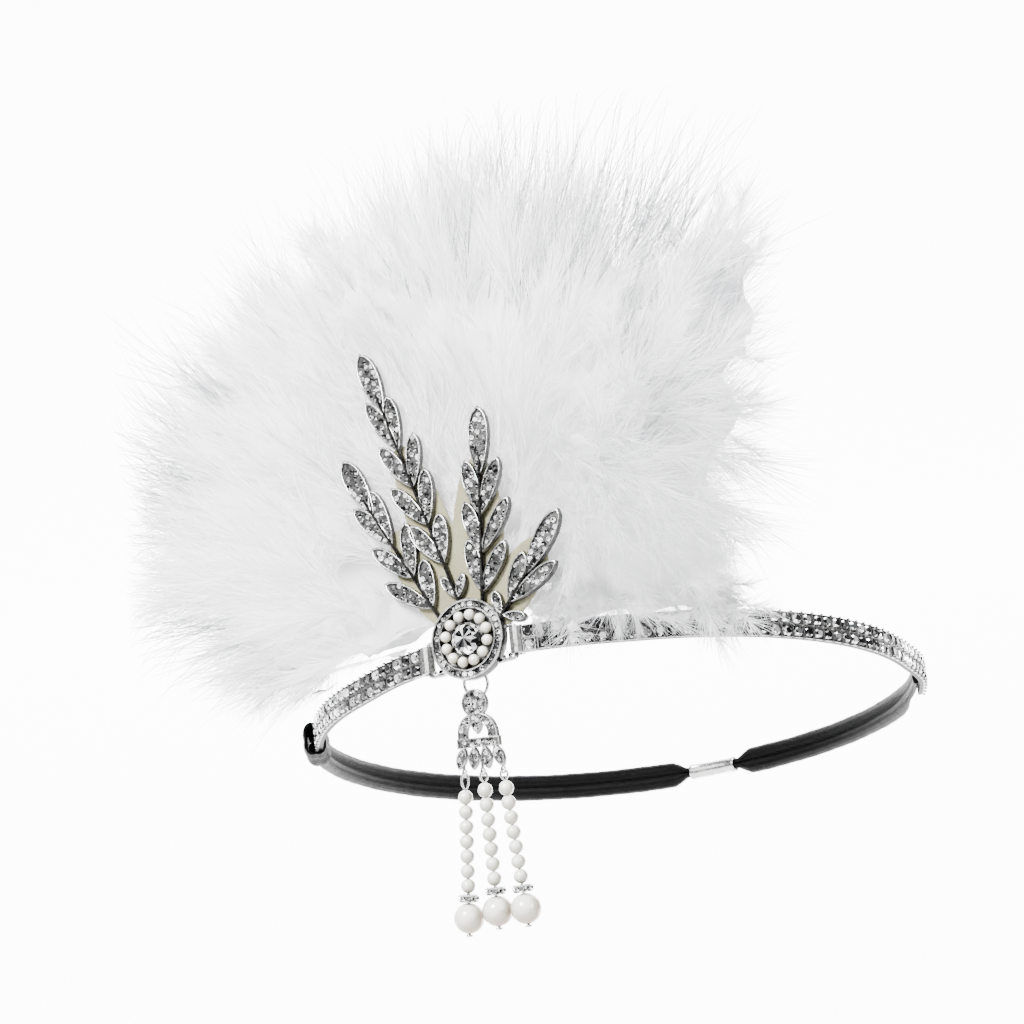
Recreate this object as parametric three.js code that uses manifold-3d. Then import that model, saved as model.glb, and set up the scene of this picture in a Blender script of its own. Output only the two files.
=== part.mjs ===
// Feather headband with a rhinestone band, a leaf brooch, a marabou plume and a pearl drop.
// Millimetres, +Z up, -Y to the front, as worn. The origin is the centre of the head ring.
import * as THREE from 'three';
import { ConvexGeometry } from 'three/addons/geometries/ConvexGeometry.js';
import { mergeVertices } from 'three/addons/utils/BufferGeometryUtils.js';
import Module from 'manifold-3d';

const wasm = await Module();
wasm.setup();

const clearance = 0.3; // between pieces that touch on the real thing

// Head ring: inner face of the loop, its front held above its back
const headHalfWidth = 82;
const headHalfDepth = 92;
const ringTilt = 13;

// Rhinestone band, in ring angles: 0 is the front, positive to the right
const bandHeight = 7;
const bandBacking = 1;
const stoneRows = 2;
const stonePitch = 3.5;
const stoneRise = 1.2;
const stoneTable = 1.9; // width across the flats of a stone's table
const bandLeftEnd = -87;
const bandRightEnd = 93;
const foldWall = 0.8; // wall of the band's fold round a side loop
const liftSpan = 22; // degrees over which the band comes away from the head to reach the brooch

// Elastic: two bonded round cords, held in a tube at the back
const cordDiameter = 4;
const cordSpacing = 3.7;
const elasticPitch = 11;
const tabLength = 12; // flattened end glued inside the band's right end
const tabThickness = 1.5;
const crimpAngle = 161.3;
const crimpLength = 14;
const crimpDiameter = 4.6;
const crimpWall = 0.5;
const wrapLength = 15;
const wrapHeight = 9.6;
const wrapWall = 0.9;

// Brooch: place on the ring, and its medallion
const broochAngle = -24.2;
const broochRise = 2.9; // medallion centre above the band's centre line
const broochStandoff = 2.3; // back of the casting off the head
const medallionRadius = 10.5;
const medallionDepth = 3;
const medallionFloor = 1.2;
const outerRim = 0.55;
const stoneChannel = 1.65; // width of the ring of small stones
const channelFloor = 2.3;
const innerRim = 0.4;
const pearlCount = 12;
const pearlDiameter = 2.9;
const crystalDiameter = 8.4;
const crystalDepth = 3.2;
const crystalSeat = 0.8; // share of the crystal's diameter that sits inside the bezel
const bezelWall = 0.5;
const bezelHeight = 1.4;

// Side loops and the staple that carries the drop
const loopWire = 1.1;
const loopReach = 13.75; // outside of a side loop from the medallion's centre
const stapleDrop = 7.6; // staple hole below the medallion's centre
const stapleWire = 0.6;

// Leaves
const leafThickness = 1.6;
const leafRim = 0.5;
const leafRecess = 0.5;
const leafLength = 16;
const leafWidth = 4.7;
const tipLeafLength = 19;
const tipLeafWidth = 6.1;
const smallLeafLength = 7.5;
const smallLeafWidth = 3;
const stemWidth = 0.8;
const stemRaise = 0.3;
const sprayHeight = 53; // longest stem

// Felt behind the casting
const feltThickness = 1.2;

// Drop
const linkRadius = 3.4;
const linkWire = 0.42;
const dropShift = -0.7; // the drop hangs a little to the left of the medallion's centre
const dropThickness = 1.6;
const dropDiscRadius = 3.6;
const dropDiscDrop = 1.5; // disc centre below its staple
const archHalfWidth = 5.75;
const archHeight = 6.6;
const scrollWidth = 2.5;
const barWidth = 12.3;
const barHeight = 2.5;
const navetteLength = 6;
const navetteWidth = 2.9;
const dropRim = 0.4;

// Pearl strands
const smallPearlRadius = 1.95;
const smallPearlPitch = 3.75;
const smallPearlCount = 7;
const endPearlRadius = 3.95;
const rondelleRadius = 2.9;
const rondelleHeight = 1.9;
const pinRadius = 0.4;
const pinHeadRadius = 0.9;
const pinHeadHeight = 0.5;
const eyeWire = 0.28;
const eyeRadius = 0.9;

// Plume
const plumeReach = 138;
const plumeBackingHeight = 5;
const plumeBackingDepth = 3.6;
const plumeBackingEnd = 24; // ring angle of its right end

const silver = new THREE.MeshStandardMaterial({ color: 0xb9b9b4, roughness: 0.3, metalness: 0.9 });
const crystal = new THREE.MeshStandardMaterial({ color: 0xdfe3e4, roughness: 0.05, metalness: 0.2 });
const stoneStrip = new THREE.MeshStandardMaterial({ color: 0xb4b4b0, roughness: 0.2, metalness: 0.6 });
const pearl = new THREE.MeshStandardMaterial({ color: 0xefeade, roughness: 0.25, metalness: 0.05 });
const black = new THREE.MeshStandardMaterial({ color: 0x141416, roughness: 0.65, metalness: 0 });
const cream = new THREE.MeshStandardMaterial({ color: 0xe6dfc0, roughness: 0.95, metalness: 0 });
const white = new THREE.MeshStandardMaterial({ color: 0xf4f4f6, roughness: 0.9, metalness: 0 });

const radians = THREE.MathUtils.degToRad;
const degrees = THREE.MathUtils.radToDeg;
const { lerp, smoothstep } = THREE.MathUtils;

// Solids

function toSolid(geometry) {
  const bare = geometry.clone();
  bare.deleteAttribute('normal');
  bare.deleteAttribute('uv');
  const merged = mergeVertices(bare, 1e-4);
  return new wasm.Manifold(new wasm.Mesh({
    numProp: 3,
    vertProperties: new Float32Array(merged.attributes.position.array),
    triVerts: new Uint32Array(merged.index.array),
  }));
}

function toGeometry(solid) {
  const mesh = solid.getMesh();
  const geometry = new THREE.BufferGeometry();
  geometry.setAttribute('position', new THREE.BufferAttribute(new Float32Array(mesh.vertProperties), 3));
  geometry.setIndex(new THREE.BufferAttribute(new Uint32Array(mesh.triVerts), 1));
  geometry.computeVertexNormals();
  return geometry;
}

function joined(solids) {
  return solids.reduce((sum, solid) => sum.add(solid));
}

// Outer skin of the biggest body, without hollows shut inside it
function largest(solid) {
  return solid.decompose().reduce((most, body) => (body.volume() > most.volume() ? body : most));
}

function without(solid, cuts) {
  return cuts.reduce((rest, cut) => rest.subtract(cut), solid);
}

function named(name, shape, material) {
  const geometry = shape.isBufferGeometry ? shape : toGeometry(shape);
  const mesh = new THREE.Mesh(geometry, material);
  mesh.name = name;
  return mesh;
}

function volumeOf(points, faces) {
  return faces.reduce((sum, [a, b, c]) =>
    sum + points[a].dot(new THREE.Vector3().crossVectors(points[b], points[c])) / 6, 0);
}

function closedGeometry(points, faces) {
  const facing = volumeOf(points, faces) > 0 ? faces : faces.map(([a, b, c]) => [a, c, b]);
  const geometry = new THREE.BufferGeometry().setFromPoints(points);
  geometry.setIndex(facing.flat());
  geometry.computeVertexNormals();
  return geometry;
}

// Skin through closed rings of points, each end closed by a fan from its middle or by one tip point
function loft(rings, tip) {
  const count = rings[0].length;
  const points = rings.flat();
  const faces = [];
  for (let ring = 0; ring < rings.length - 1; ring += 1) {
    for (let k = 0; k < count; k += 1) {
      const a = ring * count + k;
      const b = ring * count + (k + 1) % count;
      faces.push([a, b, b + count], [a, b + count, a + count]);
    }
  }
  const fan = (first, centre, reversed) => {
    const hub = points.push(centre) - 1;
    for (let k = 0; k < count; k += 1) {
      const a = first + k;
      const b = first + (k + 1) % count;
      faces.push(reversed ? [hub, b, a] : [hub, a, b]);
    }
  };
  const middle = (ring) => ring.reduce((sum, point) => sum.add(point), new THREE.Vector3())
    .divideScalar(count);
  fan(0, middle(rings[0]), true);
  fan((rings.length - 1) * count, tip ?? middle(rings.at(-1)), false);
  return closedGeometry(points, faces);
}

function extruded(shape, depth, curveSegments) {
  return new THREE.ExtrudeGeometry(shape, { depth, bevelEnabled: false, curveSegments });
}

function lathed(profile, segments) {
  return new THREE.LatheGeometry(profile.map(([r, h]) => new THREE.Vector2(r, h)), segments);
}

// Ring of the head

function ringPoint(angle, out, up) {
  const turn = radians(angle);
  const point = new THREE.Vector3(headHalfWidth * Math.sin(turn), -headHalfDepth * Math.cos(turn), up);
  return point.addScaledVector(ringNormal(angle), out);
}

function ringNormal(angle) {
  const turn = radians(angle);
  return new THREE.Vector3(Math.sin(turn) / headHalfWidth, -Math.cos(turn) / headHalfDepth, 0).normalize();
}

function ringAlong(angle) {
  const normal = ringNormal(angle);
  return new THREE.Vector3(-normal.y, normal.x, 0);
}

function ringSpeed(angle) { // millimetres along the ring for each degree
  const turn = radians(angle);
  return radians(Math.hypot(headHalfWidth * Math.cos(turn), headHalfDepth * Math.sin(turn)));
}

// Angles at equal lengths along the ring
function ringStations(from, to, pitch) {
  const samples = 400;
  const lengths = [0];
  for (let k = 1; k <= samples; k += 1) {
    const angle = lerp(from, to, (k - 0.5) / samples);
    lengths.push(lengths[k - 1] + ringSpeed(angle) * Math.abs(to - from) / samples);
  }
  const count = Math.max(2, Math.round(lengths[samples] / pitch));
  const angles = [];
  let k = 0;
  for (let station = 0; station <= count; station += 1) {
    const wanted = lengths[samples] * station / count;
    while (k < samples - 1 && lengths[k + 1] < wanted) k += 1;
    const share = (wanted - lengths[k]) / (lengths[k + 1] - lengths[k]);
    angles.push(lerp(from, to, (k + share) / samples));
  }
  return angles;
}

// Nearest ring angle to a point beside the ring, and how far out the point is
function ringFoot(point) {
  let angle = degrees(Math.atan2(point.x / headHalfWidth, -point.y / headHalfDepth));
  for (let pass = 0; pass < 12; pass += 1) {
    const away = point.clone().sub(ringPoint(angle, 0, point.z));
    angle += away.dot(ringAlong(angle)) / ringSpeed(angle);
  }
  const away = point.clone().sub(ringPoint(angle, 0, point.z));
  return { angle, out: away.dot(ringNormal(angle)) };
}

// Brooch frame on the ring: u to the right, v up, n out of the front
const broochFrame = new THREE.Matrix4()
  .makeBasis(ringAlong(broochAngle), new THREE.Vector3(0, 0, 1), ringNormal(broochAngle))
  .setPosition(ringPoint(broochAngle, broochStandoff, broochRise));

function broochPoint(u, v, n) {
  return new THREE.Vector3(u, v, n).applyMatrix4(broochFrame);
}

// Band

const loopPostCentre = loopReach - loopWire / 2;
const loopMiddle = -broochRise;
const loopWindow = bandHeight + 2 * clearance;
const foldRadius = loopWire / Math.SQRT2 + clearance + foldWall;
const leftFoot = ringFoot(broochPoint(-loopPostCentre, loopMiddle, loopWire / 2));
const rightFoot = ringFoot(broochPoint(loopPostCentre, loopMiddle, loopWire / 2));
const tabLift = tabThickness + clearance;
const tabSpan = tabLength / ringSpeed(bandRightEnd);
const tabStart = bandRightEnd - tabSpan;

function bandLift(angle) {
  const foot = angle < broochAngle ? leftFoot : rightFoot;
  const away = Math.min(1, Math.abs(angle - foot.angle) / liftSpan);
  const toBrooch = (foot.out - bandBacking / 2) * (1 + Math.cos(Math.PI * away)) / 2;
  return toBrooch + tabLift * smoothstep(angle, tabStart - 2 * tabSpan, tabStart);
}

// Strip of stones: a cell for each stone, which rises to an eight-sided table
function stoneStripSolid(from, to) {
  const angles = ringStations(from, to, stonePitch);
  const cellHeight = bandHeight / stoneRows;
  const points = [];
  const faces = [];
  const rowLine = (row) => -bandHeight / 2 + row * cellHeight;
  const perStation = stoneRows + 3;
  for (const angle of angles) {
    const lift = bandLift(angle);
    for (let row = 0; row <= stoneRows; row += 1) {
      points.push(ringPoint(angle, lift + bandBacking, rowLine(row)));
    }
    points.push(ringPoint(angle, lift, rowLine(stoneRows)), ringPoint(angle, lift, rowLine(0)));
  }
  const corner = (station, index) => station * perStation + index % perStation;
  for (let station = 0; station < angles.length - 1; station += 1) {
    for (let side = stoneRows; side < perStation; side += 1) {
      const [a, b] = [corner(station, side), corner(station, side + 1)];
      const [c, d] = [corner(station + 1, side + 1), corner(station + 1, side)];
      faces.push([a, c, b], [a, d, c]);
    }
    for (let row = 0; row < stoneRows; row += 1) {
      const corners = [corner(station + 1, row + 1), corner(station, row + 1),
        corner(station, row), corner(station + 1, row)];
      const middle = (angles[station] + angles[station + 1]) / 2;
      const centre = ringPoint(middle, bandLift(middle) + bandBacking + stoneRise,
        rowLine(row) + cellHeight / 2);
      const first = points.length;
      for (let k = 0; k < 8; k += 1) {
        const turn = radians(22.5 + 45 * k);
        const radius = stoneTable / 2 / Math.cos(radians(22.5));
        points.push(centre.clone().addScaledVector(ringAlong(middle), radius * Math.cos(turn))
          .add(new THREE.Vector3(0, 0, radius * Math.sin(turn))));
      }
      for (let side = 0; side < 4; side += 1) {
        const near = first + 2 * side;
        const next = first + (2 * side + 2) % 8;
        faces.push([near, corners[side], near + 1]);
        faces.push([near + 1, corners[side], corners[(side + 1) % 4]]);
        faces.push([near + 1, corners[(side + 1) % 4], next]);
      }
      for (let k = 1; k < 7; k += 1) faces.push([first, first + k, first + k + 1]);
    }
  }
  const last = angles.length - 1;
  const back = perStation - 2;
  for (let index = back + 1; index < back + perStation - 1; index += 1) {
    faces.push([corner(0, back), corner(0, index), corner(0, index + 1)]);
    faces.push([corner(last, back), corner(last, index + 1), corner(last, index)]);
  }
  return toSolid(closedGeometry(points, faces));
}

// Fold of the band's backing round the post of a side loop
function bandFold(side) {
  const shape = new THREE.Shape().absarc(0, 0, foldRadius, 0, 2 * Math.PI);
  shape.holes.push(new THREE.Path().absarc(0, 0, foldRadius - foldWall, 0, 2 * Math.PI, true));
  const fold = extruded(shape, bandHeight, 6);
  fold.rotateX(-Math.PI / 2);
  fold.translate(side * loopPostCentre, loopMiddle - bandHeight / 2, loopWire / 2);
  fold.applyMatrix4(broochFrame);
  return toSolid(fold);
}

const foldSpan = (foldRadius - foldWall / 2) / ringSpeed(broochAngle);

function makeBands() {
  const left = stoneStripSolid(bandLeftEnd, leftFoot.angle - foldSpan).add(bandFold(-1));
  const right = stoneStripSolid(rightFoot.angle + foldSpan, bandRightEnd).add(bandFold(1));
  return [named('band_left', left, stoneStrip), named('band_right', right, stoneStrip)];
}

// Elastic

const crimpSpan = crimpLength / ringSpeed(crimpAngle);
const crimpBore = crimpDiameter / 2 - crimpWall;
const elasticOut = cordDiameter / 2;
const elasticHalfHeight = (cordSpacing + cordDiameter) / 2;
const wrapSpan = wrapLength / ringSpeed(bandLeftEnd);
const wrapFrom = bandLeftEnd + 0.25 * wrapSpan; // front end of the wrap, over the band
const wrapTo = wrapFrom - wrapSpan;
const elasticLeftStart = bandLeftEnd - clearance;

// Section of the two cords at a ring angle, widthShare thick and heightShare tall
function cordSection(angle, out, widthShare, heightShare) {
  const ring = [];
  for (const half of [1, -1]) {
    for (let k = 0; k < 6; k += 1) {
      const turn = radians(half > 0 ? -60 + 60 * k : 120 + 60 * k);
      const radius = cordDiameter / 2;
      const waist = Math.max(0.05, cordSpacing / 2 + half * radius * Math.sin(turn));
      ring.push(ringPoint(angle, out + radius * Math.cos(turn) * widthShare,
        half * waist * heightShare));
    }
  }
  return ring;
}

// The cords draw in to a narrow neck inside the crimp tube
function crimpShare(angle) {
  const away = Math.abs(Math.abs(angle) - crimpAngle);
  return smoothstep(away, crimpSpan / 2, crimpSpan / 2 + 0.4 * crimpSpan);
}

function elasticSection(angle, isLeft) {
  const open = crimpShare(isLeft ? angle + 360 : angle);
  const neck = 0.84 * (crimpBore - clearance) / (cordDiameter / 2);
  const neckHeight = 0.84 * (crimpBore - clearance) / elasticHalfHeight;
  const flat = isLeft ? 0 : 1 - smoothstep(angle, bandRightEnd + 0.4 * tabSpan, bandRightEnd + 2 * tabSpan);
  const widthShare = lerp(lerp(neck, 1, open), tabThickness / cordDiameter, flat);
  const out = lerp(elasticOut, tabThickness / 2, flat);
  const heightShare = lerp(neckHeight, 1, open) * lerp(1, 0.85 * bandHeight / 2 / elasticHalfHeight, flat);
  return cordSection(angle, out, widthShare, heightShare);
}

function elastic(name, from, to, isLeft) {
  const neckEnd = isLeft ? to + crimpSpan : to - crimpSpan;
  const angles = [...ringStations(from, neckEnd, elasticPitch), ...[0.25, 0.5, 1].map((share) =>
    lerp(neckEnd, to, share))];
  return named(name, loft(angles.map((angle) => elasticSection(angle, isLeft))), black);
}

function ringTube(angles, radius) {
  const rings = angles.map((angle) => {
    const ring = [];
    for (let k = 0; k < 12; k += 1) {
      const turn = radians(30 * k);
      ring.push(ringPoint(angle, elasticOut + radius * Math.cos(turn), radius * Math.sin(turn)));
    }
    return ring;
  });
  return toSolid(loft(rings));
}

function crimpTube() {
  const span = (share) => [-share, 0, share].map((k) => crimpAngle + k * crimpSpan);
  const tube = ringTube(span(0.5), crimpDiameter / 2).subtract(ringTube(span(0.6), crimpBore));
  return named('crimp_tube', tube, silver);
}

// Black wrap with a waist between the band's end and the elastic
const wrapShape = [ // share of the wrap's length from its front, share of its full section
  { along: 0, swell: 0.92 },
  { along: 0.2, swell: 1 },
  { along: 0.45, swell: 0.88 },
  { along: 0.75, swell: 1 },
  { along: 1, swell: 0.9 },
];

function endWrap() {
  const thickness = cordDiameter + 2 * (clearance + wrapWall);
  const outline = (angle, swell, inset = 0) => {
    const ring = [];
    for (let k = 0; k < 12; k += 1) {
      const turn = radians(30 * k + 15);
      const corner = 0.25 * Math.abs(Math.sin(2 * turn)); // fuller than an ellipse at its corners
      const halfWidth = thickness / 2 * swell - inset;
      const halfHeight = wrapHeight / 2 * swell - inset;
      ring.push(ringPoint(angle, elasticOut + halfWidth * Math.cos(turn) * (1 + corner),
        halfHeight * Math.sin(turn) * (1 + corner)));
    }
    return ring;
  };
  const body = loft(wrapShape.map((row) => outline(lerp(wrapFrom, wrapTo, row.along), row.swell)));
  const slot = [bandLeftEnd - 0.2, wrapFrom + 2].map((angle) => [[-1, -1], [1, -1], [1, 1], [-1, 1]]
    .map(([side, top]) => ringPoint(angle,
      bandLift(bandLeftEnd) + (side < 0 ? -clearance : bandBacking + stoneRise + clearance),
      top * (bandHeight / 2 + clearance))));
  const cordsRoom = [bandLeftEnd - 0.1, (bandLeftEnd + wrapTo) / 2, wrapTo - 2].map((angle) =>
    outline(angle, 0.95, 0.6 * wrapWall));
  return named('end_wrap_left', without(toSolid(body), [toSolid(loft(slot)), toSolid(loft(cordsRoom))]),
    black);
}

function makeElastic() {
  const leftEnd = crimpAngle + 0.05 * crimpSpan - 360;
  const rightEnd = crimpAngle - 0.05 * crimpSpan;
  return [
    endWrap(),
    elastic('elastic_left', elasticLeftStart, leftEnd, true),
    elastic('elastic_right', tabStart + clearance / ringSpeed(tabStart), rightEnd, false),
    crimpTube(),
  ];
}

// Brooch

const sprays = [ // root in shares of the medallion's radius, lean in degrees, stem in shares of sprayHeight
  { name: 'a', rootU: -0.81, rootV: 0.78, lean: -28.1, stem: 0.65, tipLean: -25 },
  { name: 'b', rootU: -0.21, rootV: 1.08, lean: -17.1, stem: 1.07, tipLean: -17.7 },
  { name: 'c', rootU: 0.47, rootV: 0.92, lean: 4.9, stem: 0.61, tipLean: 4 },
  { name: 'd', rootU: 0.96, rootV: 0.42, lean: 41.5, stem: 0.22, tipLean: 37 },
];

const leaves = [ // along: share of the stem, lean in degrees, size: share of a side or small leaf's length
  { spray: 'a', along: 0.07, lean: -55.3, size: 1.06 },
  { spray: 'a', along: 0.07, lean: -7.7, size: 0.88 },
  { spray: 'a', along: 0.37, lean: -48, size: 1 },
  { spray: 'a', along: 0.37, lean: -4.9, size: 0.98 },
  { spray: 'a', along: 0.7, lean: -40.8, size: 1.04 },
  { spray: 'a', along: 0.7, lean: -18.1, size: 1.09 },
  { spray: 'b', along: 0, lean: -33.6, size: 1.09, small: true },
  { spray: 'b', along: 0, lean: 18.2, size: 0.91, small: true },
  { spray: 'b', along: 0.18, lean: -37.2, size: 0.98 },
  { spray: 'b', along: 0.18, lean: -1, size: 0.88 },
  { spray: 'b', along: 0.39, lean: -39.9, size: 1.01 },
  { spray: 'b', along: 0.39, lean: 1, size: 0.98 },
  { spray: 'b', along: 0.59, lean: -34.5, size: 1.02 },
  { spray: 'b', along: 0.59, lean: 5, size: 0.95 },
  { spray: 'b', along: 0.79, lean: -29.1, size: 1.12 },
  { spray: 'b', along: 0.79, lean: -7.7, size: 1.01 },
  { spray: 'c', along: 0.05, lean: -10.6, size: 0.96 },
  { spray: 'c', along: 0.05, lean: 33.1, size: 0.92 },
  { spray: 'c', along: 0.37, lean: -13.5, size: 0.95 },
  { spray: 'c', along: 0.37, lean: 35.3, size: 1.01 },
  { spray: 'c', along: 0.68, lean: -11.6, size: 1.01 },
  { spray: 'c', along: 0.68, lean: 24.6, size: 0.99 },
  { spray: 'd', along: 0, lean: -15.3, size: 0.95, small: true },
  { spray: 'd', along: 0, lean: 106.7, size: 0.96, small: true },
  { spray: 'd', along: 0.3, lean: 24.6, size: 0.86 },
  { spray: 'd', along: 0.3, lean: 61.8, size: 1.05 },
];

function leafOutline(length, width, inset) {
  const half = width / 2 - inset;
  const start = 1.6 * inset;
  const end = length - 1.6 * inset;
  const shape = new THREE.Shape();
  shape.moveTo(0, start);
  shape.bezierCurveTo(half * 0.8, lerp(start, end, 0.14), half * 1.75, lerp(start, end, 0.86), 0, end);
  shape.bezierCurveTo(-half * 1.75, lerp(start, end, 0.86), -half * 0.8, lerp(start, end, 0.14), 0, start);
  return shape;
}

// Leaf with a raised rim round a sunken field, turned and placed in the brooch's plane
function leafSolid(root, lean, length, width) {
  const place = new THREE.Matrix4().makeRotationZ(-radians(lean)).setPosition(root.x, root.y, 0);
  const blank = extruded(leafOutline(length, width, 0), leafThickness, 4);
  const field = extruded(leafOutline(length, width, leafRim), leafThickness, 4);
  field.translate(0, 0, leafThickness - leafRecess);
  return toSolid(blank.applyMatrix4(place)).subtract(toSolid(field.applyMatrix4(place)));
}

function leanVector(lean, length) {
  return new THREE.Vector2(Math.sin(radians(lean)), Math.cos(radians(lean))).multiplyScalar(length);
}

function spraySolid(spray) {
  const root = new THREE.Vector2(spray.rootU, spray.rootV).multiplyScalar(medallionRadius);
  const stem = leanVector(spray.lean, spray.stem * sprayHeight);
  const solids = leaves.filter((leaf) => leaf.spray === spray.name).map((leaf) => {
    const at = root.clone().addScaledVector(stem, leaf.along);
    const length = leaf.size * (leaf.small ? smallLeafLength : leafLength);
    return leafSolid(at, leaf.lean, length, leaf.small ? smallLeafWidth : leafWidth);
  });
  const top = root.clone().add(stem);
  solids.push(leafSolid(top, spray.tipLean, tipLeafLength, tipLeafWidth));
  // The stem runs from inside the medallion's rim to a third of the way up the tip leaf
  const foot = root.clone().sub(leanVector(spray.lean, 0.25 * medallionRadius));
  const length = stem.length() + 0.25 * medallionRadius + 0.3 * tipLeafLength;
  const rod = new THREE.BoxGeometry(stemWidth, length, leafThickness + stemRaise);
  rod.translate(0, length / 2, (leafThickness + stemRaise) / 2);
  rod.rotateZ(-radians(spray.lean));
  rod.translate(foot.x, foot.y, 0);
  return joined([...solids, toSolid(rod)]);
}

const pearlRoomOuter = medallionRadius - outerRim - stoneChannel - innerRim;
const pearlRingRadius = pearlRoomOuter - clearance - pearlDiameter / 2;
const bezelInner = crystalSeat * crystalDiameter / 2;
const bezelTop = medallionFloor + bezelHeight;
const bezelOuter = bezelInner + bezelWall;

function medallionSolid() {
  const channelOuter = medallionRadius - outerRim;
  const channelInner = channelOuter - stoneChannel;
  const cup = lathed([
    [0, 0], [medallionRadius, 0], [medallionRadius, medallionDepth], [channelOuter, medallionDepth],
    [channelOuter, channelFloor], [channelInner, channelFloor], [channelInner, medallionDepth - 0.1],
    [pearlRoomOuter, medallionDepth - 0.1], [pearlRoomOuter, medallionFloor], [bezelOuter, medallionFloor],
    [bezelOuter, bezelTop], [bezelInner, bezelTop], [bezelInner, medallionFloor], [0, medallionFloor],
  ], 24);
  return toSolid(cup.rotateX(Math.PI / 2));
}

// Staple loop of the medallion's side: two arms and a post that the band folds round
function sideLoop(side) {
  const inner = 0.6 * medallionRadius;
  const halfOuter = loopWindow / 2 + loopWire;
  const bend = 1.6 * loopWire;
  const shape = new THREE.Shape();
  shape.moveTo(inner, -halfOuter);
  shape.lineTo(loopReach - bend, -halfOuter);
  shape.quadraticCurveTo(loopReach, -halfOuter, loopReach, bend - halfOuter);
  shape.lineTo(loopReach, halfOuter - bend);
  shape.quadraticCurveTo(loopReach, halfOuter, loopReach - bend, halfOuter);
  shape.lineTo(inner, halfOuter);
  shape.lineTo(inner, loopWindow / 2);
  shape.lineTo(loopReach - loopWire, loopWindow / 2);
  shape.lineTo(loopReach - loopWire, -loopWindow / 2);
  shape.lineTo(inner, -loopWindow / 2);
  const loop = extruded(shape, loopWire, 3);
  if (side < 0) loop.rotateY(Math.PI).translate(0, 0, loopWire);
  return toSolid(loop.translate(0, loopMiddle, 0));
}

// Square-wire staple behind a plate, in the plane across the plate; its hole takes the link's wire
const stapleHole = linkWire + 1.5 * clearance; // half the hole
function stapleSolid(back) {
  const outer = stapleHole + stapleWire;
  const shape = new THREE.Shape();
  shape.moveTo(-outer, back);
  shape.lineTo(-outer, -outer);
  shape.lineTo(outer, -outer);
  shape.lineTo(outer, back);
  shape.lineTo(stapleHole, back);
  shape.lineTo(stapleHole, -stapleHole);
  shape.lineTo(-stapleHole, -stapleHole);
  shape.lineTo(-stapleHole, back);
  const staple = extruded(shape, 1.5 * stapleWire, 1);
  staple.translate(0, 0, -0.75 * stapleWire);
  staple.rotateY(Math.PI / 2);
  staple.rotateX(Math.PI / 2);
  return staple;
}

function broochCasting() {
  const staple = stapleSolid(stapleHole + 0.5 * medallionFloor);
  staple.translate(dropShift, -stapleDrop, -stapleHole);
  const casting = joined([medallionSolid(), sideLoop(-1), sideLoop(1), toSolid(staple),
    ...sprays.map(spraySolid)]);
  return named('brooch_casting', casting, silver);
}

function centreCrystal() {
  const radius = crystalDiameter / 2;
  const floor = medallionFloor + clearance;
  const girdle = bezelTop + clearance;
  const table = floor + crystalDepth;
  const stone = lathed([
    [0, floor], [0.5 * radius, floor], [bezelInner - clearance, girdle], [radius, girdle],
    [radius, girdle + 0.1 * crystalDepth], [0.6 * radius, table], [0, table],
  ], 12);
  return named('centre_crystal', stone.rotateX(Math.PI / 2), crystal);
}

function ringPearls() {
  const meshes = [];
  for (let k = 0; k < pearlCount; k += 1) {
    const turn = radians(90 - 360 * (k + 0.5) / pearlCount);
    const bead = named(`ring_pearl_${String(k + 1).padStart(2, '0')}`,
      new THREE.SphereGeometry(pearlDiameter / 2, 10, 5), pearl);
    bead.rotation.x = Math.PI / 2;
    bead.position.set(pearlRingRadius * Math.cos(turn), pearlRingRadius * Math.sin(turn),
      medallionFloor + clearance + pearlDiameter / 2);
    meshes.push(bead);
  }
  return meshes;
}

// Felt: a lobe behind each spray and a bridge behind the medallion, shares of each spray's reach
const feltLobes = [
  { spray: 'a', reach: 0.62, halfWidth: 6.5 },
  { spray: 'b', reach: 0.7, halfWidth: 6 },
  { spray: 'c', reach: 0.84, halfWidth: 7.5 },
  { spray: 'd', reach: 0.86, halfWidth: 6.5 },
];
const feltCut = -4.2; // lower edge, above the drop's link
const feltHalfWidth = 0.86 * medallionRadius;

function feltBacking() {
  const lobes = feltLobes.map((lobe) => {
    const spray = sprays.find((row) => row.name === lobe.spray);
    const length = lobe.reach * (medallionRadius + spray.stem * sprayHeight + 0.5 * tipLeafLength);
    const shape = new THREE.Shape();
    shape.absellipse(0, length / 2, lobe.halfWidth, length / 2, 0, 2 * Math.PI);
    const plate = extruded(shape, feltThickness, 8);
    const foot = new THREE.Vector2(spray.rootU, spray.rootV).multiplyScalar(0.5 * medallionRadius);
    plate.rotateZ(-radians(spray.lean));
    return toSolid(plate.translate(foot.x, foot.y, 0));
  });
  const bridge = new THREE.Shape();
  bridge.moveTo(-feltHalfWidth, feltCut);
  bridge.lineTo(feltHalfWidth, feltCut);
  bridge.quadraticCurveTo(1.25 * feltHalfWidth, medallionRadius, 0, 1.4 * medallionRadius);
  bridge.quadraticCurveTo(-1.25 * feltHalfWidth, medallionRadius, -feltHalfWidth, feltCut);
  const felt = joined([toSolid(extruded(bridge, feltThickness, 5)), ...lobes]);
  return named('felt_backing', felt, cream).translateZ(-clearance - feltThickness);
}

function makeBrooch() {
  const brooch = new THREE.Group();
  broochFrame.decompose(brooch.position, brooch.quaternion, brooch.scale);
  brooch.add(broochCasting(), centreCrystal(), ...ringPearls(), feltBacking());
  return brooch;
}

// Plume, in the brooch's frame

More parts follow.
